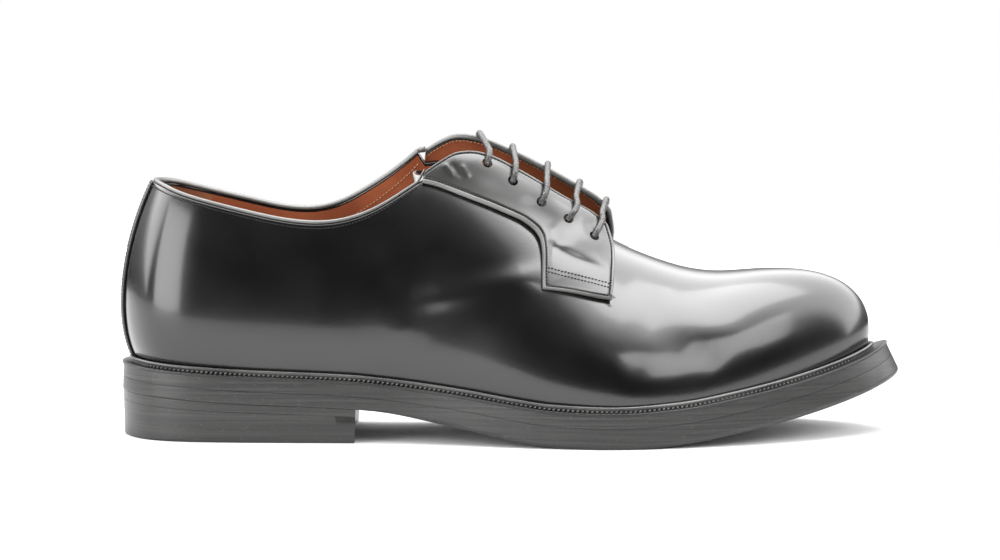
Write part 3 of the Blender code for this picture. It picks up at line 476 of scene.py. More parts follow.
def sole_point(turn, depth, inset=0.0):
    """Point on the sole's side: depth is measured square to the seat line, inset in from the edge."""
    x, y = edge_plan(turn, overhang_ring(turn) * back_overhang - inset)
    slope = seat_slope(x)
    length = np.sqrt(1.0 + slope * slope)
    return np.stack((x + depth * slope / length, y, seat(x) - depth / length), axis=-1)


def outsole_depth(turn):
    return midsole_thickness + outsole_thickness * tread_curve(share(edge_plan(turn, 0.0)[0]))


@lru_cache(None)
def facing_curves(side):
    """Seam and free edge of a facing as turns, shares and stand-off, by row of FACING."""
    name = "outer" if side < 0 else "inner"
    seam_x, edge_x = x_at(FACING["seam_x"]), x_at(FACING["edge_x"])
    seam_turn, edge_turn = turn_at(seam_x, side), turn_at(edge_x, side)
    seam_up = up_at_height(seam_turn, seat(seam_x) + instep_height * FACING["seam_up"])
    edge_up = up_at_reach(edge_turn, np.abs(ball_width * FACING["edge_" + name] - ridge_y(edge_x)))
    stand = facing_stand * FACING["stand_" + name]
    rows = np.arange(len(seam_x))
    return [steady_curve(rows, values) for values in (seam_turn, seam_up, edge_turn, edge_up, stand)]


def facing_point(side, row, part, depth):
    """Point of a facing: row along it, part 0 at the seam to 1 at the free edge, depth 0 at its back."""
    seam_turn, seam_up, edge_turn, edge_up, stand = facing_curves(side)
    row = np.asarray(row, float)
    part = np.asarray(part, float)
    turn = seam_turn(row) + (edge_turn(row) - seam_turn(row)) * part
    up = seam_up(row) + (edge_up(row) - seam_up(row)) * part
    return skin(turn, up, clearance + stand(row) * ease(part) + depth)


def facing_normal(side, row, part):
    """Outward direction of a facing's own face, which tilts as it stands off the body."""
    step = 0.02
    forward = facing_point(side, row + step, part, 0.0) - facing_point(side, row - step, part, 0.0)
    across = facing_point(side, row, part + step, 0.0) - facing_point(side, row, part - step, 0.0)
    return unit(np.cross(forward, across) * -side)


def eyelet_places(side):
    """Row and part of each lace hole on its facing."""
    name = "outer" if side < 0 else "inner"
    rows = np.linspace(1.0, last_station - 2.0, 901)
    seam_turn, seam_up, edge_turn, edge_up, _ = (curve(rows) for curve in facing_curves(side))
    places = []
    for along, reach in zip(EYELETS[name + "_along"], EYELETS[name + "_reach"]):
        turn = float(turn_at(x_at(along), side))
        up = float(up_at_reach(turn, ball_width * reach))
        part = (up - seam_up) / (edge_up - seam_up)
        miss = np.abs(seam_turn + (edge_turn - seam_turn) * part - turn)
        best = int(np.argmin(miss + 100.0 * ((part < 0.05) | (part > 1.0))))
        places.append((float(rows[best]), float(part[best])))
    return places


# Route of the lace: rows count from the top eyelet, 1 to 5; sides are outer or inner.
# It runs over the gap as straight bars and under the facings between rows.
LACE_RUNS = (
    ("over", 2, "outer", 2, "inner"), ("under", 2, "inner", 4, "inner"), ("over", 4, "inner", 4, "outer"),
    ("under", 4, "outer", 5, "outer"), ("over", 5, "outer", 5, "inner"), ("under", 5, "inner", 3, "inner"),
    ("over", 3, "inner", 3, "outer"), ("under", 3, "outer", 1, "outer"), ("over", 1, "outer", 1, "inner"),
)
# How far a run that passes a row keeps to the side of its hole, toward the free edge
LACE_PASSING = {("inner", 2, 4): 1.0, ("inner", 5, 3): -1.0, ("outer", 3, 1): 1.0}


def lace_route():
    """Corners of the lace's middle line, from its hidden outer end to its hidden inner end."""
    sides = {"outer": -1, "inner": 1}
    off = 0.5 * lace_diameter + clearance
    places = {name: eyelet_places(side) for name, side in sides.items()}

    def over(name, row, part):
        spot = facing_point(sides[name], row, part, facing_thickness)
        return spot + facing_normal(sides[name], row, part) * off

    def under(name, number, shift=0.0, slide=0.0):
        row, part = places[name][number - 1]
        row = row + slide
        edge = facing_point(sides[name], row, 1.0, 0.0)
        seam = facing_point(sides[name], row, 0.0, 0.0)
        part = part + shift / np.linalg.norm(edge - seam)
        return facing_point(sides[name], row, part, 0.0) - facing_normal(sides[name], row, part) * off

    def climb(name, number):
        """From a lace hole over the facing to its free edge."""
        row, part = places[name][number - 1]
        edge = edge_row(name, number)
        return [over(name, row + (edge - row) * way, part + (1.0 - part) * way) for way in (0.0, 0.35, 0.7, 1.0)]

    side_step = lace_diameter + 0.5
    route = [under("outer", 2, -0.6 * side_step, -0.8)]
    route.append(under("outer", 2))
    for kind, start, start_side, end, end_side in LACE_RUNS:
        if kind == "over":
            route += climb(start_side, start) + climb(end_side, end)[::-1]
            route.append(under(end_side, end))
        else:
            passing = LACE_PASSING.get((start_side, start, end))
            if passing:
                route.append(under(start_side, (start + end) // 2, passing * side_step))
            route.append(under(end_side, end))
    route.append(under("inner", 1, 0.0, -0.7))
    return np.array(route)


def edge_row(name, number):
    """Row of FACING at which the free edge is level with a lace hole."""
    rows = np.arange(1, 9)
    return float(np.interp(EYELETS[name + "_along"][number - 1], FACING["edge_x"][rows], rows))


def rounded_line(corners, radius, step):
    """Line through corners with each corner turned on an arc."""
    points = [corners[0]]
    for before, corner, after in zip(corners, corners[1:], corners[2:]):
        back, ahead = unit(before - corner), unit(after - corner)
        shortest = min(np.linalg.norm(before - corner), np.linalg.norm(after - corner))
        bend = math.pi - math.acos(float(np.clip(np.dot(back, ahead), -1.0, 1.0)))
        if bend < 0.05:
            points.append(corner)
            continue
        reach = min(radius * math.tan(0.5 * bend), 0.48 * shortest)
        arc_radius = reach / math.tan(0.5 * bend)
        centre = corner + unit(back + ahead) * arc_radius / math.cos(0.5 * bend)
        start = corner + back * reach - centre
        finish = corner + ahead * reach - centre
        pieces = max(1, int(round(bend * arc_radius / step)))
        for turn in bend * np.arange(pieces + 1) / pieces:
            points.append(centre + (start * math.sin(bend - turn) + finish * math.sin(turn)) / math.sin(bend)
                          if math.sin(bend) > 0.05 else corner)
    points.append(corners[-1])
    return np.array(points)


# Fineness of the pieces
fine = 1.0


def count(number):
    return max(4, int(round(number * fine)))


def shoe_points(points):
    points = np.array(points, float).reshape(-1, 3)
    points[:, 0] -= heel_centre
    return points * MM


def place_object(name, data, place=(0.0, 0.0, 0.0)):
    thing = bpy.data.objects.new(name, data)
    bpy.context.scene.collection.objects.link(thing)
    thing.location = place
    return thing


def shade(mesh, sharp=None):
    mesh.shade_smooth()
    if sharp:
        mesh.set_sharp_from_angle(angle=math.radians(sharp))


def mark(piece, replaced=None):
    """Hide the solid that a piece replaces."""
    if replaced:
        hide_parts(replaced)


def mesh_piece(name, points, faces, materials, picks=None, join=0.0, sharp=None):
    """Piece from points in shoe millimetres, on the shoe's one body; join closes it and turns its faces outward."""
    mesh = bpy.data.meshes.new(name)
    mesh.from_pydata(shoe_points(points).tolist(), [], [list(map(int, face)) for face in faces])
    for material in materials:
        mesh.materials.append(material)
    if picks is not None:
        mesh.polygons.foreach_set("material_index", np.asarray(picks, np.int32))
    mesh.update()
    if join:
        work = bmesh.new()
        work.from_mesh(mesh)
        bmesh.ops.remove_doubles(work, verts=work.verts, dist=join * MM)
        bmesh.ops.recalc_face_normals(work, faces=work.faces)
        work.to_mesh(mesh)
        work.free()
    shade(mesh, sharp)
    piece = place_object(name, mesh)
    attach(piece, "root")
    return piece


def grid_faces(across, upward, closed=False, first=0, flip=False):
    """Quads of a grid whose first index may close round."""
    i, j = np.meshgrid(np.arange(across if closed else across - 1), np.arange(upward - 1), indexing="ij")
    a = first + i * upward + j
    b = first + ((i + 1) % across) * upward + j
    faces = np.stack((a, b, b + 1, a + 1), axis=-1).reshape(-1, 4)
    return faces[:, ::-1] if flip else faces


def round_turns(half):
    """Turns of the outer half and, mirrored, of the inner half."""
    return np.concatenate((half, rows_round - half[-2:0:-1]))


def spread_turns(start, end, number):
    """Turns between two places on the outer half, evenly spaced along the feather edge."""
    dense = np.linspace(start, end, 400)
    run = run_along(np.stack((last_length * foot_x_ring(dense), ball_width * foot_y_ring(dense)), axis=-1))
    return np.interp(np.linspace(0.0, run[-1], number), run, dense)


def line_place(points, line):
    """Share along a line given by x and z, to x and z, and distance to its side."""
    x0, z0, x1, z1 = line
    run_x, run_z = x1 - x0, z1 - z0
    length = math.hypot(run_x, run_z)
    x, z = points[..., 0] - x0, points[..., 2] - z0
    return (x * run_x + z * run_z) / length ** 2, (x * run_z - z * run_x) / length


def beside_line(points, line, width):
    """Soft weight round a line."""
    along, off = line_place(points, line)
    ends = np.clip(np.minimum(along + 0.25, 1.25 - along) / 0.5, 0.0, 1.0)
    return np.exp(-(off / width) ** 2) * ease(ends)


def under_line(points, line):
    """Drop just under a line, which fades out below it."""
    along, off = line_place(points, line)
    ends = np.clip(np.minimum((along + 0.1) / 0.2, (1.15 - along) / 0.6), 0.0, 1.0)
    fall = 1.0 / (1.0 + np.exp(-np.clip(off / 0.55, -30.0, 30.0)))
    return fall * np.exp(-np.maximum(off, 0.0) / 3.2) * ease(ends)


# Creases of the worn-in surface, in shoe millimetres: side, from x and z, to x and z, width, height
CREASES = (
    (-1, 164.0, 64.5, 116.0, 56.5, 5.5, 1.05),
    (-1, 160.0, 52.0, 116.0, 43.0, 9.0, -0.12),
    (-1, 196.0, 64.0, 210.0, 52.0, 7.0, -0.40),
    (-1, 204.0, 50.0, 220.0, 36.0, 7.5, -0.35),
    (-1, 216.0, 50.0, 244.0, 40.0, 6.5, 0.35),
    (-1, 222.0, 38.0, 232.0, 30.0, 5.0, -0.25),
    (-1, 92.0, 76.0, 104.0, 60.0, 8.0, -0.45),
    (-1, 100.0, 60.0, 112.0, 40.0, 9.0, 0.35),
    (-1, 176.0, 40.0, 196.0, 30.0, 8.0, 0.40),
    (1, 164.0, 60.0, 124.0, 52.0, 6.0, 0.60),
    (1, 204.0, 50.0, 222.0, 34.0, 6.5, -0.70),
    (1, 214.0, 52.0, 236.0, 38.0, 6.0, 0.40),
    (1, 96.0, 74.0, 106.0, 52.0, 9.0, -0.40),
)


def crease_height(points):
    """Soft troughs and ridges where the leather has bent."""
    side = np.clip((points[..., 1] - ridge_y(points[..., 0])) / ridge_blend, -1.0, 1.0)
    total = np.zeros_like(side)
    for mine, *line, width, height in CREASES:
        total += height * beside_line(points, line, width) * np.clip(side * mine, 0.0, 1.0)
    return total


# Materials


def new_material(name):
    """Material, its node tree and its object coordinates."""
    material = bpy.data.materials.new(name)
    material.use_nodes = True
    tree = material.node_tree
    return material, tree, tree.nodes.new("ShaderNodeTexCoord").outputs["Object"]


def feed(tree, node, **inputs):
    """Set a node's inputs, each to a plain value or to another node's output."""
    for name, value in inputs.items():
        socket = node.inputs[name.replace("_", " ")]
        if isinstance(value, bpy.types.NodeSocket):
            tree.links.new(value, socket)
        else:
            socket.default_value = value
    return node


def add(tree, kind, **inputs):
    return feed(tree, tree.nodes.new("ShaderNode" + kind), **inputs)


def noise(tree, place, scale, detail=3.0, rough=0.5):
    return add(tree, "TexNoise", Vector=place, Scale=scale, Detail=detail, Roughness=rough).outputs["Fac"]


def ramp(tree, value, stops):
    """Colours between stops, each a place and a colour."""
    node = add(tree, "ValToRGB", Fac=value)
    elements = node.color_ramp.elements
    for element, (place, colour) in ((elements[0], stops[0]), (elements[1], stops[-1])):
        element.position, element.color = place, (*colour, 1.0)
    for place, colour in stops[1:-1]:
        elements.new(place).color = (*colour, 1.0)
    return node.outputs["Color"]


def spread(tree, value, low, high):
    return add(tree, "MapRange", Value=value, To_Min=low, To_Max=high).outputs["Result"]


def bump(tree, height, strength, distance, **before):
    return add(tree, "Bump", Height=height, Strength=strength, Distance=distance, **before).outputs["Normal"]


def finish_material(material, **inputs):
    feed(material.node_tree, material.node_tree.nodes["Principled BSDF"], **inputs)
    return material


def leather(name, dark, pale, rough, grain, grain_scale, coat, coat_rough, soft):
    """Smooth leather: fine pores, slow waves, uneven polish."""
    material, tree, place = new_material(name)
    slow = noise(tree, place, 38.0)
    cells = add(tree, "TexVoronoi", Vector=place, Scale=grain_scale * 0.8).outputs["Distance"]
    pores = bump(tree, cells, grain * 0.5, 0.0002, Normal=bump(tree, slow, soft, 0.002))
    pores = bump(tree, noise(tree, place, grain_scale, 4.0, 0.6), grain, 0.0003, Normal=pores)
    return finish_material(material, Base_Color=ramp(tree, slow, ((0.35, dark), (0.65, pale))), Normal=pores,
                           Roughness=spread(tree, slow, *rough), Coat_Weight=coat, Coat_Roughness=coat_rough)


def sole_leather(name, pale, rough):
    """Burnished edge of stacked leather with fine lengthwise lines."""
    material, tree, place = new_material(name)
    lengthwise = add(tree, "Mapping", Vector=place, Scale=(0.012, 0.012, 1.0)).outputs["Vector"]
    lines = noise(tree, lengthwise, 1500.0, 3.0, 0.6)
    specks = noise(tree, place, 900.0, 5.0, 0.75)
    mixed = tree.nodes.new("ShaderNodeMix")
    mixed.data_type = "RGBA"
    mixed.blend_type = "ADD"
    feed(tree, mixed, Factor=1.0, A=ramp(tree, lines, ((0.38, (0.014, 0.014, 0.0135)), (0.68, pale))),
         B=ramp(tree, specks, ((0.60, (0.0, 0.0, 0.0)), (0.80, (0.10, 0.10, 0.097)))))
    grain = bump(tree, specks, 0.2, 0.0002, Normal=bump(tree, lines, 0.16, 0.0003))
    return finish_material(material, Base_Color=mixed.outputs["Result"], Normal=grain,
                           Roughness=spread(tree, specks, rough - 0.08, rough + 0.14))


def thread(name, colour, rough):
    """Twisted sewing thread."""
    material, tree, place = new_material(name)
    twist = noise(tree, place, 3000.0, 2.0)
    tone = ramp(tree, twist, ((0.3, tuple(0.6 * part for part in colour)), (0.7, colour)))
    return finish_material(material, Base_Color=tone, Roughness=rough, Normal=bump(tree, twist, 0.4, 0.0001))


def lace_cord(name):
    """Round waxed braid, black with pale specks."""
    material, tree, place = new_material(name)
    braid = tree.nodes.new("ShaderNodeUVMap").outputs["UV"]
    cells = add(tree, "TexVoronoi", Vector=braid, Scale=1.0).outputs["Distance"]
    specks = noise(tree, place, 2600.0, 2.0)
    colour = ramp(tree, specks, ((0.50, (0.010, 0.010, 0.011)), (0.64, (0.17, 0.166, 0.16))))
    return finish_material(material, Base_Color=colour, Roughness=0.42, Normal=bump(tree, cells, 0.5, 0.0004))


# Leathers: name, dark and pale tone, roughness, grain and its scale, coat and its roughness, softness
body_black, facing_black, painted_highlight_edge, painted_highlight_binding, lining_tan, suede_tan, painted_highlight_bead, welt_black = (
    leather(*row) for row in (
        ("polished_black_calf", (0.0025,) * 3, (0.005,) * 3, (0.18, 0.26), 0.10, 1500.0, 0.6, 0.12, 0.07),
        ("facing_black_calf", (0.018, 0.018, 0.0175), (0.028, 0.028, 0.027), (0.24, 0.34), 0.10, 1500.0, 0.6,
         0.15, 0.15),
        # cut edge: its pale grey tone is a painted highlight where the edge catches the light
        ("cut_edge_with_painted_highlight", (0.07, 0.07, 0.067), (0.15, 0.15, 0.143), (0.32, 0.5), 0.25, 1800.0, 0.3, 0.25, 0.1),
        # collar binding: its pale grey tone is a painted highlight on the rounded fold
        ("folded_binding", (0.06, 0.06, 0.057), (0.13, 0.13, 0.125), (0.32, 0.5), 0.25, 1800.0, 0.3, 0.25, 0.1),
        ("tan_lining", (0.25, 0.062, 0.022), (0.35, 0.098, 0.036), (0.5, 0.7), 0.35, 1300.0, 0.0, 0.3, 0.15),
        ("tan_suede_counter", (0.20, 0.07, 0.03), (0.40, 0.16, 0.075), (0.8, 0.95), 0.9, 1900.0, 0.0, 0.3, 0.2),
        # welt bead: its paler tone than the welt is a painted highlight on the round top
        ("welt_bead_with_painted_highlight", (0.03,) * 3, (0.07, 0.07, 0.068), (0.22, 0.35), 0.3, 1600.0, 0.4, 0.2, 0.1),
        ("black_welt", (0.006,) * 3, (0.015,) * 3, (0.35, 0.5), 0.3, 1600.0, 0.0, 0.3, 0.1)))
edge_black = sole_leather("black_sole_edge", (0.032, 0.032, 0.031), 0.34)
heel_black = sole_leather("black_heel_stack", (0.030, 0.030, 0.029), 0.30)
stitch_black = thread("black_thread", (0.008, 0.008, 0.008), 0.8)
stitch_grey = thread("welt_thread", (0.16, 0.16, 0.15), 0.6)
stitch_tan = thread("tan_thread", (0.55, 0.30, 0.16), 0.6)
cord_black = lace_cord("waxed_lace")


# Pieces


def shell_piece(name, outer, inner, materials, outer_picks=0, inner_picks=0):
    """Closed sheet between two grids whose outer rows meet at the edges."""
    across, upward = outer.shape[:2]
    size = across * upward
    faces = [grid_faces(across, upward), grid_faces(across, upward, False, size, True)]
    picks = [np.broadcast_to(part, len(faces[0])) for part in (outer_picks, inner_picks)]
    lines = [np.arange(across) * upward + row for row in (0, upward - 1)]
    lines += [row * upward + np.arange(upward) for row in (0, across - 1)]
    for line in lines:
        faces.append(np.stack((line[:-1], line[1:], line[1:] + size, line[:-1] + size), axis=-1))
        picks.append(np.zeros(len(line) - 1, int))
    points = np.concatenate((outer.reshape(-1, 3), inner.reshape(-1, 3)))
    return mesh_piece(name, points, np.concatenate(faces), materials, np.concatenate(picks), join=closing)


def edge_distance(grid):
    """Distance in millimetres from each grid point to the nearest of its four edges."""
    along = np.linalg.norm(np.diff(grid, axis=0), axis=-1)
    along = np.concatenate((np.zeros((1, grid.shape[1])), np.cumsum(along, axis=0)))
    across = np.linalg.norm(np.diff(grid, axis=1), axis=-1)
    across = np.concatenate((np.zeros((grid.shape[0], 1)), np.cumsum(across, axis=1)), axis=1)
    return along, along[-1:] - along, across, across[:, -1:] - across


def rounded(middle, half, distance, radius):
    """Two faces of a sheet that close in a half round at its edge."""
    inside = np.clip(distance / radius, 0.0, 1.0)
    swell = np.sqrt(1.0 - (1.0 - inside) ** 2)[..., None]
    return middle + half * swell, middle - half * swell


def edge_steps(number, first, last=None, reach=0.12):
    """Places from 0 to 1 with closer steps at the ends."""
    last = first if last is None else last
    start = reach * (np.arange(first) / first) ** 1.6
    end = 1.0 - reach * (np.arange(last) / last)[::-1] ** 1.6
    return np.concatenate((start, np.linspace(reach, 1.0 - reach, number), end))

def tube_faces(levels, sides):
    level, k = np.meshgrid(np.arange(levels - 1), np.arange(sides), indexing="ij")
    a, b = level * sides + k, level * sides + (k + 1) % sides
    return np.stack((a, b, b + sides, a + sides), axis=-1).reshape(-1, 4)


# Form of one stitch: place along it, width and rise
STITCH = (
    (-1.0, 0.25, -0.6), (-0.82, 0.75, 0.1), (-0.4, 1.0, 0.8), (0.0, 1.0, 1.0), (0.4, 1.0, 0.8), (0.82, 0.75, 0.1),
    (1.0, 0.25, -0.6),
)
STITCH_SIDES = 6


def stitch_row(name, line, normals, size, material, tilt=0.0):
    """Row of thread loops along a line, as one mesh; size is their pitch, length, width and height."""
    pitch, length, width, height = size
    run = run_along(line)
    number = max(2, int(run[-1] / pitch))
    at = (np.arange(number) + 0.5) * run[-1] / number
    spots = points_at(at, run, line)
    ups = unit(points_at(at, run, normals))
    ahead = unit(points_at(at + 0.2, run, line) - points_at(at - 0.2, run, line))
    ahead = unit(ahead + unit(np.cross(ups, ahead)) * tilt)
    beside = unit(np.cross(ups, ahead))
    rings = []
    for place, wide, high in STITCH:
        middle = spots + ahead * place * 0.5 * length + ups * high * 0.5 * height
        for angle in 2.0 * math.pi * np.arange(STITCH_SIDES) / STITCH_SIDES:
            rings.append(middle + beside * math.cos(angle) * 0.5 * width * wide
                         + ups * math.sin(angle) * 0.5 * height * wide)
    single = tube_faces(len(STITCH), STITCH_SIDES)
    faces = np.concatenate([single + index * len(rings) for index in range(number)])
    mark(mesh_piece(name, np.stack(rings, axis=1).reshape(-1, 3), faces, [material]))


def cord_piece(name, line, diameter, sides, material):
    """Round cord along a line, with its pattern laid out along it."""
    tangents = unit(np.gradient(line, axis=0))
    across = np.cross(tangents[0], (0.0, 0.0, 1.0))
    angles = 2.0 * math.pi * np.arange(sides) / sides
    rings = []
    for spot, tangent in zip(line, tangents):
        across = unit(across - tangent * np.dot(across, tangent))
        other = np.cross(tangent, across)
        rings.append(spot + 0.5 * diameter * (np.cos(angles)[:, None] * across + np.sin(angles)[:, None] * other))
    faces = tube_faces(len(line), sides).tolist()
    faces.append(range(sides - 1, -1, -1))
    faces.append([(len(line) - 1) * sides + k for k in range(sides)])
    piece = mesh_piece(name, rings, faces, [material])
    run = run_along(line)
    layer = piece.data.uv_layers.new(name="along")
    for polygon in piece.data.polygons:
        corners = [piece.data.loops[index].vertex_index for index in polygon.loop_indices]
        wraps = {corner % sides for corner in corners} >= {0, sides - 1}
        for index, corner in zip(polygon.loop_indices, corners):
            level, k = divmod(corner, sides)
            k = sides if wraps and k == 0 else k
            layer.data[index].uv = (run[level] / diameter * 2.2, 6.0 * k / sides)
    return piece


def make_body():
    """Body of the upper: black outside, brown lining within, one closed mesh."""
    turns = round_turns(np.concatenate((
        spread_turns(0.0, collar_row, count(104))[:-1],
        stretched(throat_turns, count(88))[:-1],
        spread_turns(throat_end, toe_row, count(120)),
    )))
    edge = body_edge(turns)
    up = edge[:, None] * np.linspace(0.0, 1.0, count(70) + 1)
    across, upward = up.shape
    turn = np.repeat(turns[:, None], upward, axis=1)
    lift = section_normal(turn, up) * crease_height(skin(turn, up))[..., None]
    outer = skin(turn, up) + lift
    inner = skin(turn, up, -upper_wall) + lift
    foot_x, foot_y = edge_plan(turns, -upper_wall)
    inner[:, 0] = np.stack((foot_x, foot_y, seat(foot_x) + clearance), axis=-1)
    size = across * upward
    points = np.concatenate((outer.reshape(-1, 3), inner.reshape(-1, 3)))
    faces = [grid_faces(across, upward, True), grid_faces(across, upward, True, size, True)]
    level = np.tile(np.arange(upward - 1), across) / (upward - 1)
    lining = np.where(points[faces[1]].mean(axis=1)[:, 0] < counter_length, 2, 1)
    picks = [np.zeros(len(faces[0]), int), np.where(level > rim_band, 0, lining)]
    i = np.arange(across)
    j = (i + 1) % across
    open_top = edge < 0.9999
    for row, mine in ((0, np.ones(across, bool)), (upward - 1, open_top | open_top[j])):
        a, b = i[mine] * upward + row, j[mine] * upward + row
        faces.append(np.stack((a, b, b + size, a + size), axis=-1))
        picks.append(np.zeros(mine.sum(), int))
    piece = mesh_piece("upper_leather", points, np.concatenate(faces), [body_black, lining_tan, suede_tan],
                       np.concatenate(picks), join=closing)
    mark(piece, "upper")


# Sole, welt and heel


def edge_turns(number):
    """Turns round the shoe, evenly spaced along the feather edge."""
    return round_turns(spread_turns(0.0, toe_row, number))


def ring_piece(name, rings, material, replaced, sharp, strips):
    """Layer from the rings of its side, closed above and below by strips across it; the last takes the rest."""
    grid = np.stack(rings, axis=1)
    number, upward = grid.shape[:2]
    faces = grid_faces(number, upward, True).tolist()
    for level in (0, upward - 1):
        for i in range(strips):
            ends = [i, i + 1, number - i - 1, (number - i) % number]
            if i == strips - 1:
                ends = range(i, number - i + 1)
            faces.append([end * upward + level for end in dict.fromkeys(ends)])
    mark(mesh_piece(name, grid.reshape(-1, 3), faces, [material], join=closing, sharp=sharp), replaced)


def waver(points, size, pace, seed):
    """Small uneven shift, the same on every run."""
    x, y, z = points[..., 0], points[..., 1], points[..., 2]
    return size * (np.sin(x * pace + seed) * 0.5 + np.sin(x * pace * 2.3 + y * pace * 1.7 + seed * 2.1) * 0.3
                   + np.sin((x + z) * pace * 5.1 - y * pace * 3.7 + seed) * 0.2)


def make_sole():
    turns = edge_turns(count(330))
    strips = len(turns) // 2
    bottom = midsole_thickness - 0.02
    places = [(-0.25, 0.5), (-0.25, 0.05), (-0.2, 0.0), (0.2, 0.0)]
    places += [(depth, 0.0) for depth in np.linspace(0.9, bottom - 0.5, 4)]
    places += [(bottom - 0.06, 0.02), (bottom, 0.12)]
    rings = [sole_point(turns, *place) for place in places]
    ring_piece("midsole_edge", rings, edge_black, "midsole", 35, strips)
    depth = outsole_depth(turns)
    bevel = np.interp(edge_plan(turns, 0.0)[0], (heel_length, heel_length + 12.0), (heel_edge_bevel, edge_bevel))
    rough = waver(sole_point(turns, depth - bevel), 0.16, 1.9, 0.4)
    top = midsole_thickness
    wall = top + 0.35
    places = [(top, 0.12), (top + 0.06, 0.02)]
    places += [(wall + (depth - bevel - wall) * part, 0.0) for part in (0.0, 0.15, 0.35, 0.55, 0.75, 0.92, 1.0)]
    places += [(depth - bevel * 0.55, bevel * 0.2 + rough), (depth - bevel * 0.2, bevel * 0.55 + rough * 0.6)]
    places += [(depth, bevel), (depth, bevel + 3.0)]
    rings = [sole_point(turns, *place) for place in places]
    for ring_points in rings:
        ring_points[:, 2] = np.maximum(ring_points[:, 2], 0.0)
    ring_piece("outsole_edge", rings, edge_black, "outsole", 35, strips)


# Rings of the heel from its top: share of the way down, shift toward the middle, rise
HEEL_RINGS = (
    (0.0, 0.12, 0.0), (0.0, 0.02, -0.06), (0.0, 0.0, -0.4), (0.12, 0.0, 0.0), (0.22, 0.0, 0.1), (0.22, 0.12, 0.0),
    (0.22, 0.0, -0.1), (0.5, 0.0, 0.0), (0.7, 0.0, 0.0), (0.85, 0.0, 0.0), (1.0, 0.0, 0.9), (1.0, 0.1, 0.45),
    (1.0, 0.25, 0.12), (1.0, 0.5, 0.0),
)


def make_heel():
    breast_turn = float(first_past(0.0, float(toe_row), lambda turn: edge_plan(turn, 0.0)[0] >= heel_length))
    turns = spread_turns(0.0, breast_turn, count(110))
    outer, inner = (sole_point(side, outsole_depth(side), heel_edge_bevel) for side in (turns, rows_round - turns))
    outer[-1, 0] = inner[-1, 0] = heel_length
    across = np.linspace(outer[-1, 1], inner[-1, 1], 13)[1:-1]
    part = np.arange(1, 12) / 12.0
    hollow = heel_length - heel_breast_hollow * 4.0 * part * (1.0 - part)
    under = outer[-1, 2] + (hollow - heel_length) * seat_slope(heel_length)
    loop = np.concatenate((outer, np.stack((hollow, across, under), axis=-1), inner[:0:-1]))
    top = loop - np.array((0.0, 0.0, 0.02))
    bottom = loop * np.array((1.0, 1.0, 0.0))
    toward = unit(np.array((heel_centre, 0.0, 0.0)) - bottom)
    down = bottom + toward * heel_taper - top
    rings = [top + down * way + toward * shift + np.array((0.0, 0.0, rise)) for way, shift, rise in HEEL_RINGS]
    ring_piece("heel_stack", rings, heel_black, "heel", 40, len(turns) - 1)


def make_welt():
    """Storm welt: rounded bead by the upper, stitch groove, and a wheeled ledge."""
    turns = edge_turns(count(1050))
    x, y = edge_plan(turns, 0.0)
    run = run_along(np.stack((x, y), axis=-1))
    waves = max(1, round(run[-1] / welt_pitch))
    notch = (0.5 - 0.5 * np.cos(2.0 * math.pi * run / run[-1] * waves)) ** 3
    proud = welt_proud * np.interp(x, (0.0, heel_length, heel_length + 30.0), (1.0, 0.8, 0.2))
    reach = overhang_ring(turns) * back_overhang
    ledge = welt_thickness

    def at_reach(out, rise):
        plan_x, plan_y = edge_plan(turns, out)
        return np.stack((plan_x, plan_y, seat(plan_x) + clearance + rise), axis=-1)

    def at_upper(rise, out):
        up = find_up(turns, lambda point: point[..., 2] >= seat(point[..., 0]) + clearance + np.maximum(rise, 0.0))
        flat = section_normal(turns, up) * np.array((1.0, 1.0, 0.0))
        point = skin(turns, up) + unit(flat) * (out + 0.0 * turns)[:, None]
        point[:, 2] = seat(point[:, 0]) + clearance + rise
        return point

    radius = 0.5 * bead_width
    rings = [at_upper(0.0, clearance), at_upper(bead_height - radius, clearance - 0.1)]
    for angle in np.radians((165, 135, 105, 75, 45, 15, -15, -45)):
        out = clearance + radius + math.cos(angle) * radius
        rings.append(at_upper(bead_height - radius + radius * math.sin(angle), out + 0.03 * np.sin(run * 0.7)))
    wall_out = clearance + bead_width - 0.25
    rings.append(at_upper(1.55, wall_out - 0.1 * notch))
    rings.append(at_upper(ledge + 0.1, wall_out - 0.25 * notch))
    rings.append(at_upper(ledge - 0.25, wall_out + 0.45))
    outer_edge = reach + proud
    flat_ring = at_reach(reach - 0.9, ledge - 0.3 * notch)
    rings += [rings[-1] * 0.45 + flat_ring * 0.55, flat_ring]
    for out, rise in ((-0.45, ledge - 0.02 - 0.25 * notch), (-0.12, ledge - 0.08 - 0.2 * notch),
                      (0.0, ledge - 0.25 - 0.1 * notch), (0.0, 0.3), (-0.1, 0.0)):
        rings.append(at_reach(outer_edge + out, rise))
    grid = np.stack(rings, axis=1)
    number, upward = grid.shape[:2]
    i = np.arange(number)
    j = (i + 1) % number
    close = np.stack((i * upward + upward - 1, j * upward + upward - 1, j * upward, i * upward), axis=-1)
    level = np.tile(np.arange(upward - 1), number)
    # the bead's faces, levels 1 to 8, take the paler bead leather: a painted highlight
    picks = np.concatenate((np.where((level >= 1) & (level <= 8), 1, 0), np.zeros(number, int)))
    faces = np.concatenate((grid_faces(number, upward, True), close))
    piece = mesh_piece("welt_strip", grid.reshape(-1, 3), faces, [welt_black, painted_highlight_bead], picks, join=closing,
                       sharp=60)
    mark(piece, "welt")
    line = 0.5 * rings[10] + 0.5 * rings[11]
    normals = at_reach(reach + 1.0, 0.0) - line
    normals[:, 2] = 0.35
    line, normals = (np.concatenate((part, part[:1])) for part in (line, unit(normals)))
    stitch_row("welt_stitches", line, normals, (run[-1] / waves, *WELT_STITCH), stitch_grey, 0.7)


# Facings


def line_at(distance, place, width):
    """Soft line that runs at a distance from an edge."""
    return np.exp(-((distance - place) / width) ** 2)


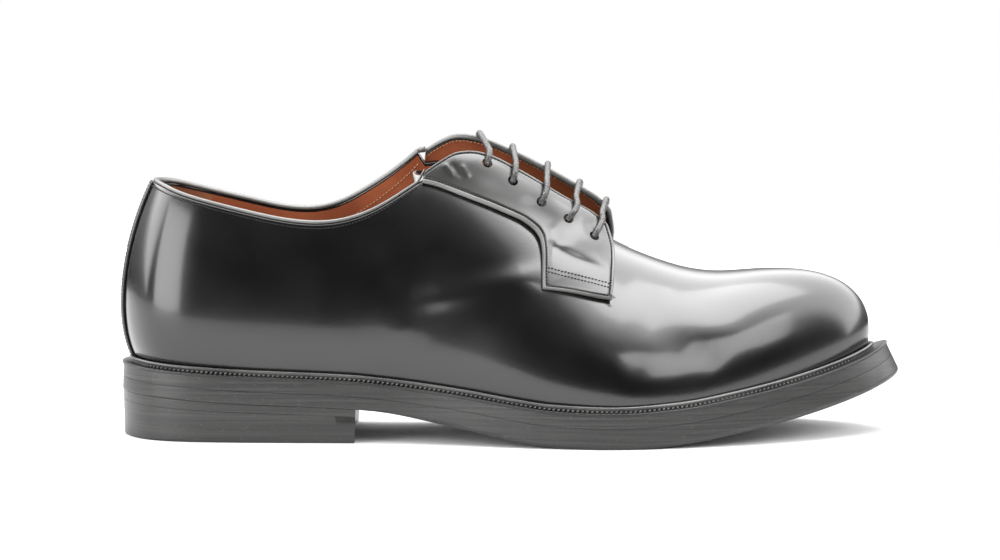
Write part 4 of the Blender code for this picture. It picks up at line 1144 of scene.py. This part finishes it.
# Folds of the facings: from x and z, to x and z, width, height
FACING_FOLDS = (
    (168.0, 83.0, 171.0, 76.0, 2.2, -0.3),
    (176.0, 80.0, 188.0, 74.0, 4.0, 0.3),
    (126.0, 107.0, 129.5, 102.5, 1.1, 0.28),
    (129.5, 106.5, 132.5, 102.0, 1.0, -0.25),
    (133.0, 106.0, 135.5, 102.0, 1.0, 0.22),
    (158.0, 92.0, 170.0, 84.0, 3.0, -0.3),
    (182.0, 84.0, 187.0, 78.0, 1.8, -0.35),
)

def make_facing(side, name, node):
    rows = edge_steps(count(300), count(14), count(14), 0.02) * last_station
    parts = edge_steps(count(44), count(20), count(20), 0.16)
    row, part = np.meshgrid(rows, parts, indexing="ij")
    inner, outer = (facing_point(side, row, part, depth) for depth in (0.0, facing_thickness))
    middle = 0.5 * (inner + outer)
    half = outer - middle
    ends = edge_distance(middle)
    distance = np.minimum.reduce(ends)
    top, bottom = rounded(middle, half, distance, 0.5 * facing_thickness)
    trim = np.minimum.reduce(ends[1:])
    normal = unit(np.cross(np.gradient(middle, axis=0), np.gradient(middle, axis=1)) * -side)
    near_edge = np.clip(distance / 0.6, 0.0, 1.0)
    relief = (0.12 * line_at(trim, 0.6, 0.5) - 0.5 * line_at(trim, stitch_inset, 0.42)) * near_edge
    inside = np.clip((trim - 2.2) / 2.5, 0.0, 1.0)
    for *line, width, height in FACING_FOLDS:
        relief = relief + height * inside * beside_line(middle, line, width)
    relief = relief - 1.1 * inside * under_line(middle, (166.5, 77.0, 188.0, 67.0))
    top = top + normal * relief[..., None]
    lower = bottom + normal * (0.25 * line_at(trim, 1.6, 0.4) * near_edge)[..., None]
    face_trim = 0.25 * (trim[1:, 1:] + trim[:-1, 1:] + trim[1:, :-1] + trim[:-1, :-1]).reshape(-1)
    # the pale bands along the cut edges of both faces are a painted highlight, not the leather's own tone
    piece = shell_piece(name, top, lower, [facing_black, painted_highlight_edge, lining_tan],
                        np.where(face_trim < 1.25, 1, 0),
                        np.where(face_trim < 1.0, 1, np.where(face_trim < 2.6, 0, 2)))
    cut_holes(piece, side)
    mark(piece, node)
    stitch_lines(side, name, rows, middle, half, normal, ends)


def cut_holes(piece, side):
    cutters = []
    for number, (row, part) in enumerate(eyelet_places(side), start=1):
        middle = facing_point(side, row, part, 0.5 * facing_thickness)
        direction = facing_normal(side, row, part)
        start, end = shoe_points([middle - direction * 4.0, middle + direction * 4.0])
        mesh = bpy.data.meshes.new(f"{piece.name}_cut_{number}")
        work = bmesh.new()
        bmesh.ops.create_cone(work, cap_ends=True, segments=28, radius1=0.5 * eyelet_diameter * MM,
                              radius2=0.5 * eyelet_diameter * MM, depth=8.0 * MM)
        work.to_mesh(mesh)
        work.free()
        cutter = place_object(mesh.name, mesh, Vector((start + end) / 2))
        cutter.rotation_euler = Vector(end - start).to_track_quat("Z", "Y").to_euler()
        cut = piece.modifiers.new(cutter.name, "BOOLEAN")
        cut.operation = "DIFFERENCE"
        cut.solver = "EXACT"
        cut.object = cutter
        cutters.append(cutter)
    bpy.context.view_layer.update()
    finished = bpy.data.meshes.new_from_object(piece.evaluated_get(bpy.context.evaluated_depsgraph_get()))
    piece.modifiers.clear()
    piece.data = finished
    for cutter in cutters:
        bpy.data.objects.remove(cutter, do_unlink=True)
    shade(finished, 50)


# Stitch rows across the tab: from x and z, to x and z
TAB_ROWS = {
    "tab_upper": (165.0, 68.4, 189.0, 61.7),
    "tab_second": (165.0, 66.9, 189.0, 60.2),
    "lower": (165.0, 61.6, 190.0, 57.1),
}


def stitch_lines(side, name, rows, middle, half, normal, ends):
    """Stitch rows along the seam, the free edge and across the tab."""
    face = middle + half
    number = face.shape[1]
    start = int(np.searchsorted(rows, 0.15))
    last = int(np.argmin(np.abs(ends[1][:, number // 2] - stitch_inset)))
    lines = {}

    def beside(measure, wanted):
        return [(i, int(np.argmin(np.abs(measure[i] - wanted)))) for i in range(start, last)]

    def take(pairs, sink):
        i, j = np.array(pairs).T
        return face[i, j] - sink * normal[i, j], normal[i, j]

    for label, measure in (("seam", ends[2]), ("edge", ends[3])):
        lines[label] = take(beside(measure, stitch_inset), 0.35)
    for label, (x0, z0, x1, z1) in TAB_ROWS.items():
        pairs = []
        for j in range(number):
            line_z = z0 + (middle[:, j, 0] - x0) * (z1 - z0) / (x1 - x0)
            under = np.nonzero((middle[:, j, 2] < line_z) & (rows > 5.0))[0]
            i = min(int(under[0]), last) if len(under) else last
            if ends[2][i, j] > 1.9 and ends[3][i, j] > 1.9:
                pairs.append((i, j))
        lines[label] = take(pairs, 0.02)
    i, j = np.array(beside(ends[3], lining_stitch_inset)).T
    stitch_row(f"{name}_lining_stitch", (middle - half)[i, j], -normal[i, j], FACING_LINING_STITCH, stitch_tan)
    steps = np.linspace(0.0, 1.0, 9)[:, None]
    for number, (measure, sway) in enumerate(((ends[2], -0.6), (ends[3], 0.4)), start=1):
        j = int(np.argmin(np.abs(measure[last] - 1.6)))
        up = normal[last, j]
        down = unit(face[last, j] - face[last - 6, j])
        path = face[last, j] + up * 0.15 + down * steps * 2.6 + np.cross(up, down) * sway * steps ** 2
        path = path + up * 0.35 * np.sin(steps * 2.6)
        mark(cord_piece(f"{name}_thread_end_{number}", path, 0.32, 6, stitch_black))
    for label, (points, ups) in lines.items():
        stitch_row(f"{name}_stitch_{label}", points, ups, FACING_STITCH, stitch_black)


def make_binding():
    """Folded binding on the collar, from one facing round the heel to the other."""
    half = np.linspace(0.0, collar_row - 0.03, count(160))
    turns = np.concatenate((-half[:0:-1], half)) % rows_round
    edge = body_edge(turns)
    step_up = unit(section(turns, edge) - section(turns, edge - 0.01))
    side = section_normal(turns, edge)
    middle = 0.5 * (skin(turns, edge) + skin(turns, edge, -upper_wall))
    half_width = 0.5 * binding_width
    base = clearance + 0.35
    places = [(half_width * math.cos(angle), base + (binding_thickness - 0.35) * math.sin(angle))
              for angle in np.radians(np.linspace(-20.0, 200.0, 15))]
    places += [(0.2 - half_width, clearance - 0.1), (half_width - 0.2, clearance - 0.1)]
    grid = np.stack([middle + side * out + step_up * rise for out, rise in places], axis=1)
    behind = facing_point(1, 0.0, 0.93, 1.2) - middle[0]
    ahead = facing_point(-1, 0.0, 0.93, 1.2) - middle[-1]
    grid = np.stack([grid[0] + behind, grid[0] + 0.5 * behind, *grid, grid[-1] + 0.5 * ahead, grid[-1] + ahead])
    number, upward = grid.shape[:2]
    faces = grid_faces(number, upward).tolist()
    a = np.arange(number - 1) * upward
    faces += np.stack((a, a + upward, a + 2 * upward - 1, a + upward - 1), axis=-1).tolist()
    faces.append(range(upward))
    faces.append(range(number * upward - 1, (number - 1) * upward - 1, -1))
    # the binding's pale grey tone is a painted highlight
    mark(mesh_piece("collar_roll", grid.reshape(-1, 3), faces, [painted_highlight_binding], join=closing),
         "collar_binding")
    stitch_row("collar_stitches", skin(turns, edge - 0.014, 0.02), section_normal(turns, edge - 0.014),
               COLLAR_STITCH, stitch_black)
    stitch_row("lining_stitches", skin(turns, edge - 0.06, -upper_wall - 0.05), -section_normal(turns, edge - 0.06),
               LINING_STITCH, stitch_tan)


def make_back_strip():
    widths = (edge_steps(count(14), count(8), count(8), 0.2) - 0.5) * strip_width
    ring_step = 0.1
    turns = widths / section(ring_step, 0.3)[1] * ring_step
    top = float(body_edge(np.array([0.0]))[0])
    bottom = float(up_at_height(0.0, seat(0.0) + clearance + bead_height - 0.6))
    turn, up = np.meshgrid(turns % rows_round, np.linspace(bottom, top * 0.995, count(90)), indexing="ij")
    inner = skin(turn, up, clearance - 0.2)
    outer = skin(turn, up, clearance + strip_thickness)
    middle = 0.5 * (inner + outer)
    ends = edge_distance(middle)
    front, back = rounded(middle, outer - middle, np.minimum.reduce(ends), 0.6)
    normal = section_normal(turn, up)
    front = front - normal * 0.15 * line_at(np.minimum(ends[0], ends[1]), strip_stitch_inset, 0.4)[..., None]
    mark(shell_piece("heel_strip", front, back, [facing_black]), "back_strip")
    for label, wanted in (("outer", strip_stitch_inset), ("inner", strip_width - strip_stitch_inset)):
        i = int(np.argmin(np.abs(ends[0][:, 5] - wanted)))
        stitch_row(f"heel_strip_stitch_{label}", outer[i] - normal[i] * 0.12, normal[i], STRIP_STITCH,
                   stitch_black)


def make_tongue():
    xs = tongue_top + edge_steps(count(70), count(10), count(10), 0.06) * (tongue_end - tongue_top)
    dip = tongue_dip * np.clip((tongue_top + 60.0 - xs) / 40.0, 0.0, 1.0) ** 2
    parts = edge_steps(count(26), count(8), 1, 0.06)
    drop = dip[:, None] * (0.55 + 0.45 * ease(np.clip(parts / 0.5, 0.0, 1.0)))
    grids = []
    for depth in (0.0, tongue_thickness):
        halves = []
        for side, limit in ((-1, tongue_outer_reach), (1, tongue_inner_reach)):
            turn = turn_at(xs, side)[:, None]
            edge = up_at_reach(turn, limit)
            half = skin(turn, edge + (1.0 - edge) * parts, -drop - upper_wall - tongue_gap - depth)
            halves.append(half if side < 0 else half[:, -2::-1])
        grids.append(np.concatenate(halves, axis=1))
    middle = 0.5 * (grids[0] + grids[1])
    distance = np.minimum.reduce(edge_distance(middle))
    top, bottom = rounded(middle, grids[0] - middle, distance, 0.5 * tongue_thickness)
    mark(shell_piece("tongue_leather", top, bottom, [facing_black, lining_tan], inner_picks=1),
         "tongue")


def make_insole():
    turns = edge_turns(count(160))
    rings = []
    for inset, lower in ((3.0, 0.0), (0.9, 0.0), (0.3, 0.25), (0.0, 0.9), (0.0, insole_thickness)):
        x, y = edge_plan(turns, -(upper_wall + 0.5 + inset))
        rings.append(np.stack((x, y, seat(x) + clearance + insole_thickness - lower), axis=-1))
    ring_piece("sock_lining", rings, lining_tan, "insole", 35, len(turns) // 2)


def make_lace():
    route = rounded_line(lace_route(), lace_bend, 0.35 / fine)
    line = route[:1]
    for point in route[1:]:
        if np.linalg.norm(point - line[-1]) > 0.05:
            line = np.concatenate((line, [point]))
    run = run_along(line)
    line = points_at(np.linspace(0.0, run[-1], count(int(run[-1] / 0.45))), run, line)
    for _ in range(int(22 * fine * fine) + 1):
        line[1:-1] = 0.25 * line[:-2] + 0.5 * line[1:-1] + 0.25 * line[2:]
    mark(cord_piece("lace_cord", line, lace_diameter, 16, cord_black), "lace")


make_body()
make_sole()
make_heel()
make_welt()
make_facing(-1, "outer_facing", "facing_lateral")
make_facing(1, "inner_facing", "facing_medial")
make_binding()
make_back_strip()
make_tongue()
make_insole()
make_lace()

# Floor, light and camera


def area_light(name, place, target, size, power):
    lamp = bpy.data.lights.new(name, "AREA")
    lamp.shape = "RECTANGLE"
    lamp.size, lamp.size_y = size
    lamp.energy = power
    holder = place_object(name, lamp, place)
    holder.rotation_euler = (Vector(target) - Vector(place)).to_track_quat("-Z", "Y").to_euler()


floor_mesh = bpy.data.meshes.new("floor")
floor_mesh.from_pydata([(-1.3, -0.42, 0), (1.5, -0.42, 0), (1.5, 0.75, 0), (-1.3, 0.75, 0)], [], [(0, 1, 2, 3)])
floor_material, floor_tree, floor_place = new_material("white_floor")
floor_tone = ramp(floor_tree, noise(floor_tree, floor_place, 3.0), ((0.0, (0.90,) * 3), (1.0, (0.92,) * 3)))
floor_mesh.materials.append(finish_material(floor_material, Base_Color=floor_tone, Roughness=0.9))
place_object("floor", floor_mesh)

area_light("overhead", (0.25, 0.15, 1.5), (0.12, 0.0, 0.05), (1.6, 1.0), 22.0)
area_light("left_box", (-1.15, -0.95, 0.40), (0.0, 0.0, 0.06), (1.15, 1.0), 21.0)
area_light("right_box", (1.15, -0.95, 0.95), (0.2, 0.0, 0.05), (0.9, 0.7), 10.0)

# Brightness met by a reflection, by degrees up from the front over the top to the back
SKY = ((0.0, 0.002), (30.0, 0.003), (46.0, 0.03), (56.0, 0.07), (66.0, 0.55), (76.0, 0.9), (100.0, 1.0), (142.0, 1.0),
       (160.0, 0.14), (180.0, 0.03))
WHITE = (1.0, 1.0, 1.0, 1.0)


def make_world():
    """White to the eye, even for soft light; reflections find a dark front and a bright sky."""
    world = bpy.data.worlds.new("studio")
    bpy.context.scene.world = world
    world.use_nodes = True
    tree = world.node_tree

    def maths(operation, first, second):
        node = tree.nodes.new("ShaderNodeMath")
        node.operation = operation
        for socket, value in zip(node.inputs, (first, second)):
            if isinstance(value, float):
                socket.default_value = value
            else:
                tree.links.new(value, socket)
        return node.outputs["Value"]

    def mix(ray, first, second):
        node = add(tree, "MixShader", Fac=rays[ray])
        for socket, value in zip(node.inputs[1:], (first, second)):
            tree.links.new(value.outputs[0], socket)
        return node

    direction = tree.nodes.new("ShaderNodeTexCoord").outputs["Generated"]
    parts = add(tree, "SeparateXYZ", Vector=direction).outputs
    angle = maths("ARCTAN2", parts["Z"], maths("MULTIPLY", parts["Y"], -1.0))
    stops = [(degrees / 180.0, (value,) * 3) for degrees, value in SKY]
    sky = ramp(tree, maths("DIVIDE", angle, math.pi), stops)
    soft = feed(tree, tree.nodes["Background"], Color=WHITE, Strength=1.2)
    seen = add(tree, "Background", Color=WHITE, Strength=1.0)
    mirrored = add(tree, "Background", Color=sky, Strength=5.0)
    rays = tree.nodes.new("ShaderNodeLightPath").outputs
    shown = mix("Is Camera Ray", mix("Is Glossy Ray", soft, mirrored), seen)
    tree.links.new(shown.outputs["Shader"], tree.nodes["World Output"].inputs["Surface"])


make_world()

camera_data = bpy.data.cameras.new("camera")
camera_data.lens = 201.6
camera_data.sensor_width = 36.0
camera_data.clip_end = 30.0
camera = place_object("camera", camera_data, (0.102, -2.188, 0.2866))
camera.rotation_euler = (math.radians(84.09), 0.0, 0.0)
bpy.context.scene.camera = camera
bpy.context.scene.view_settings.view_transform = "Standard"
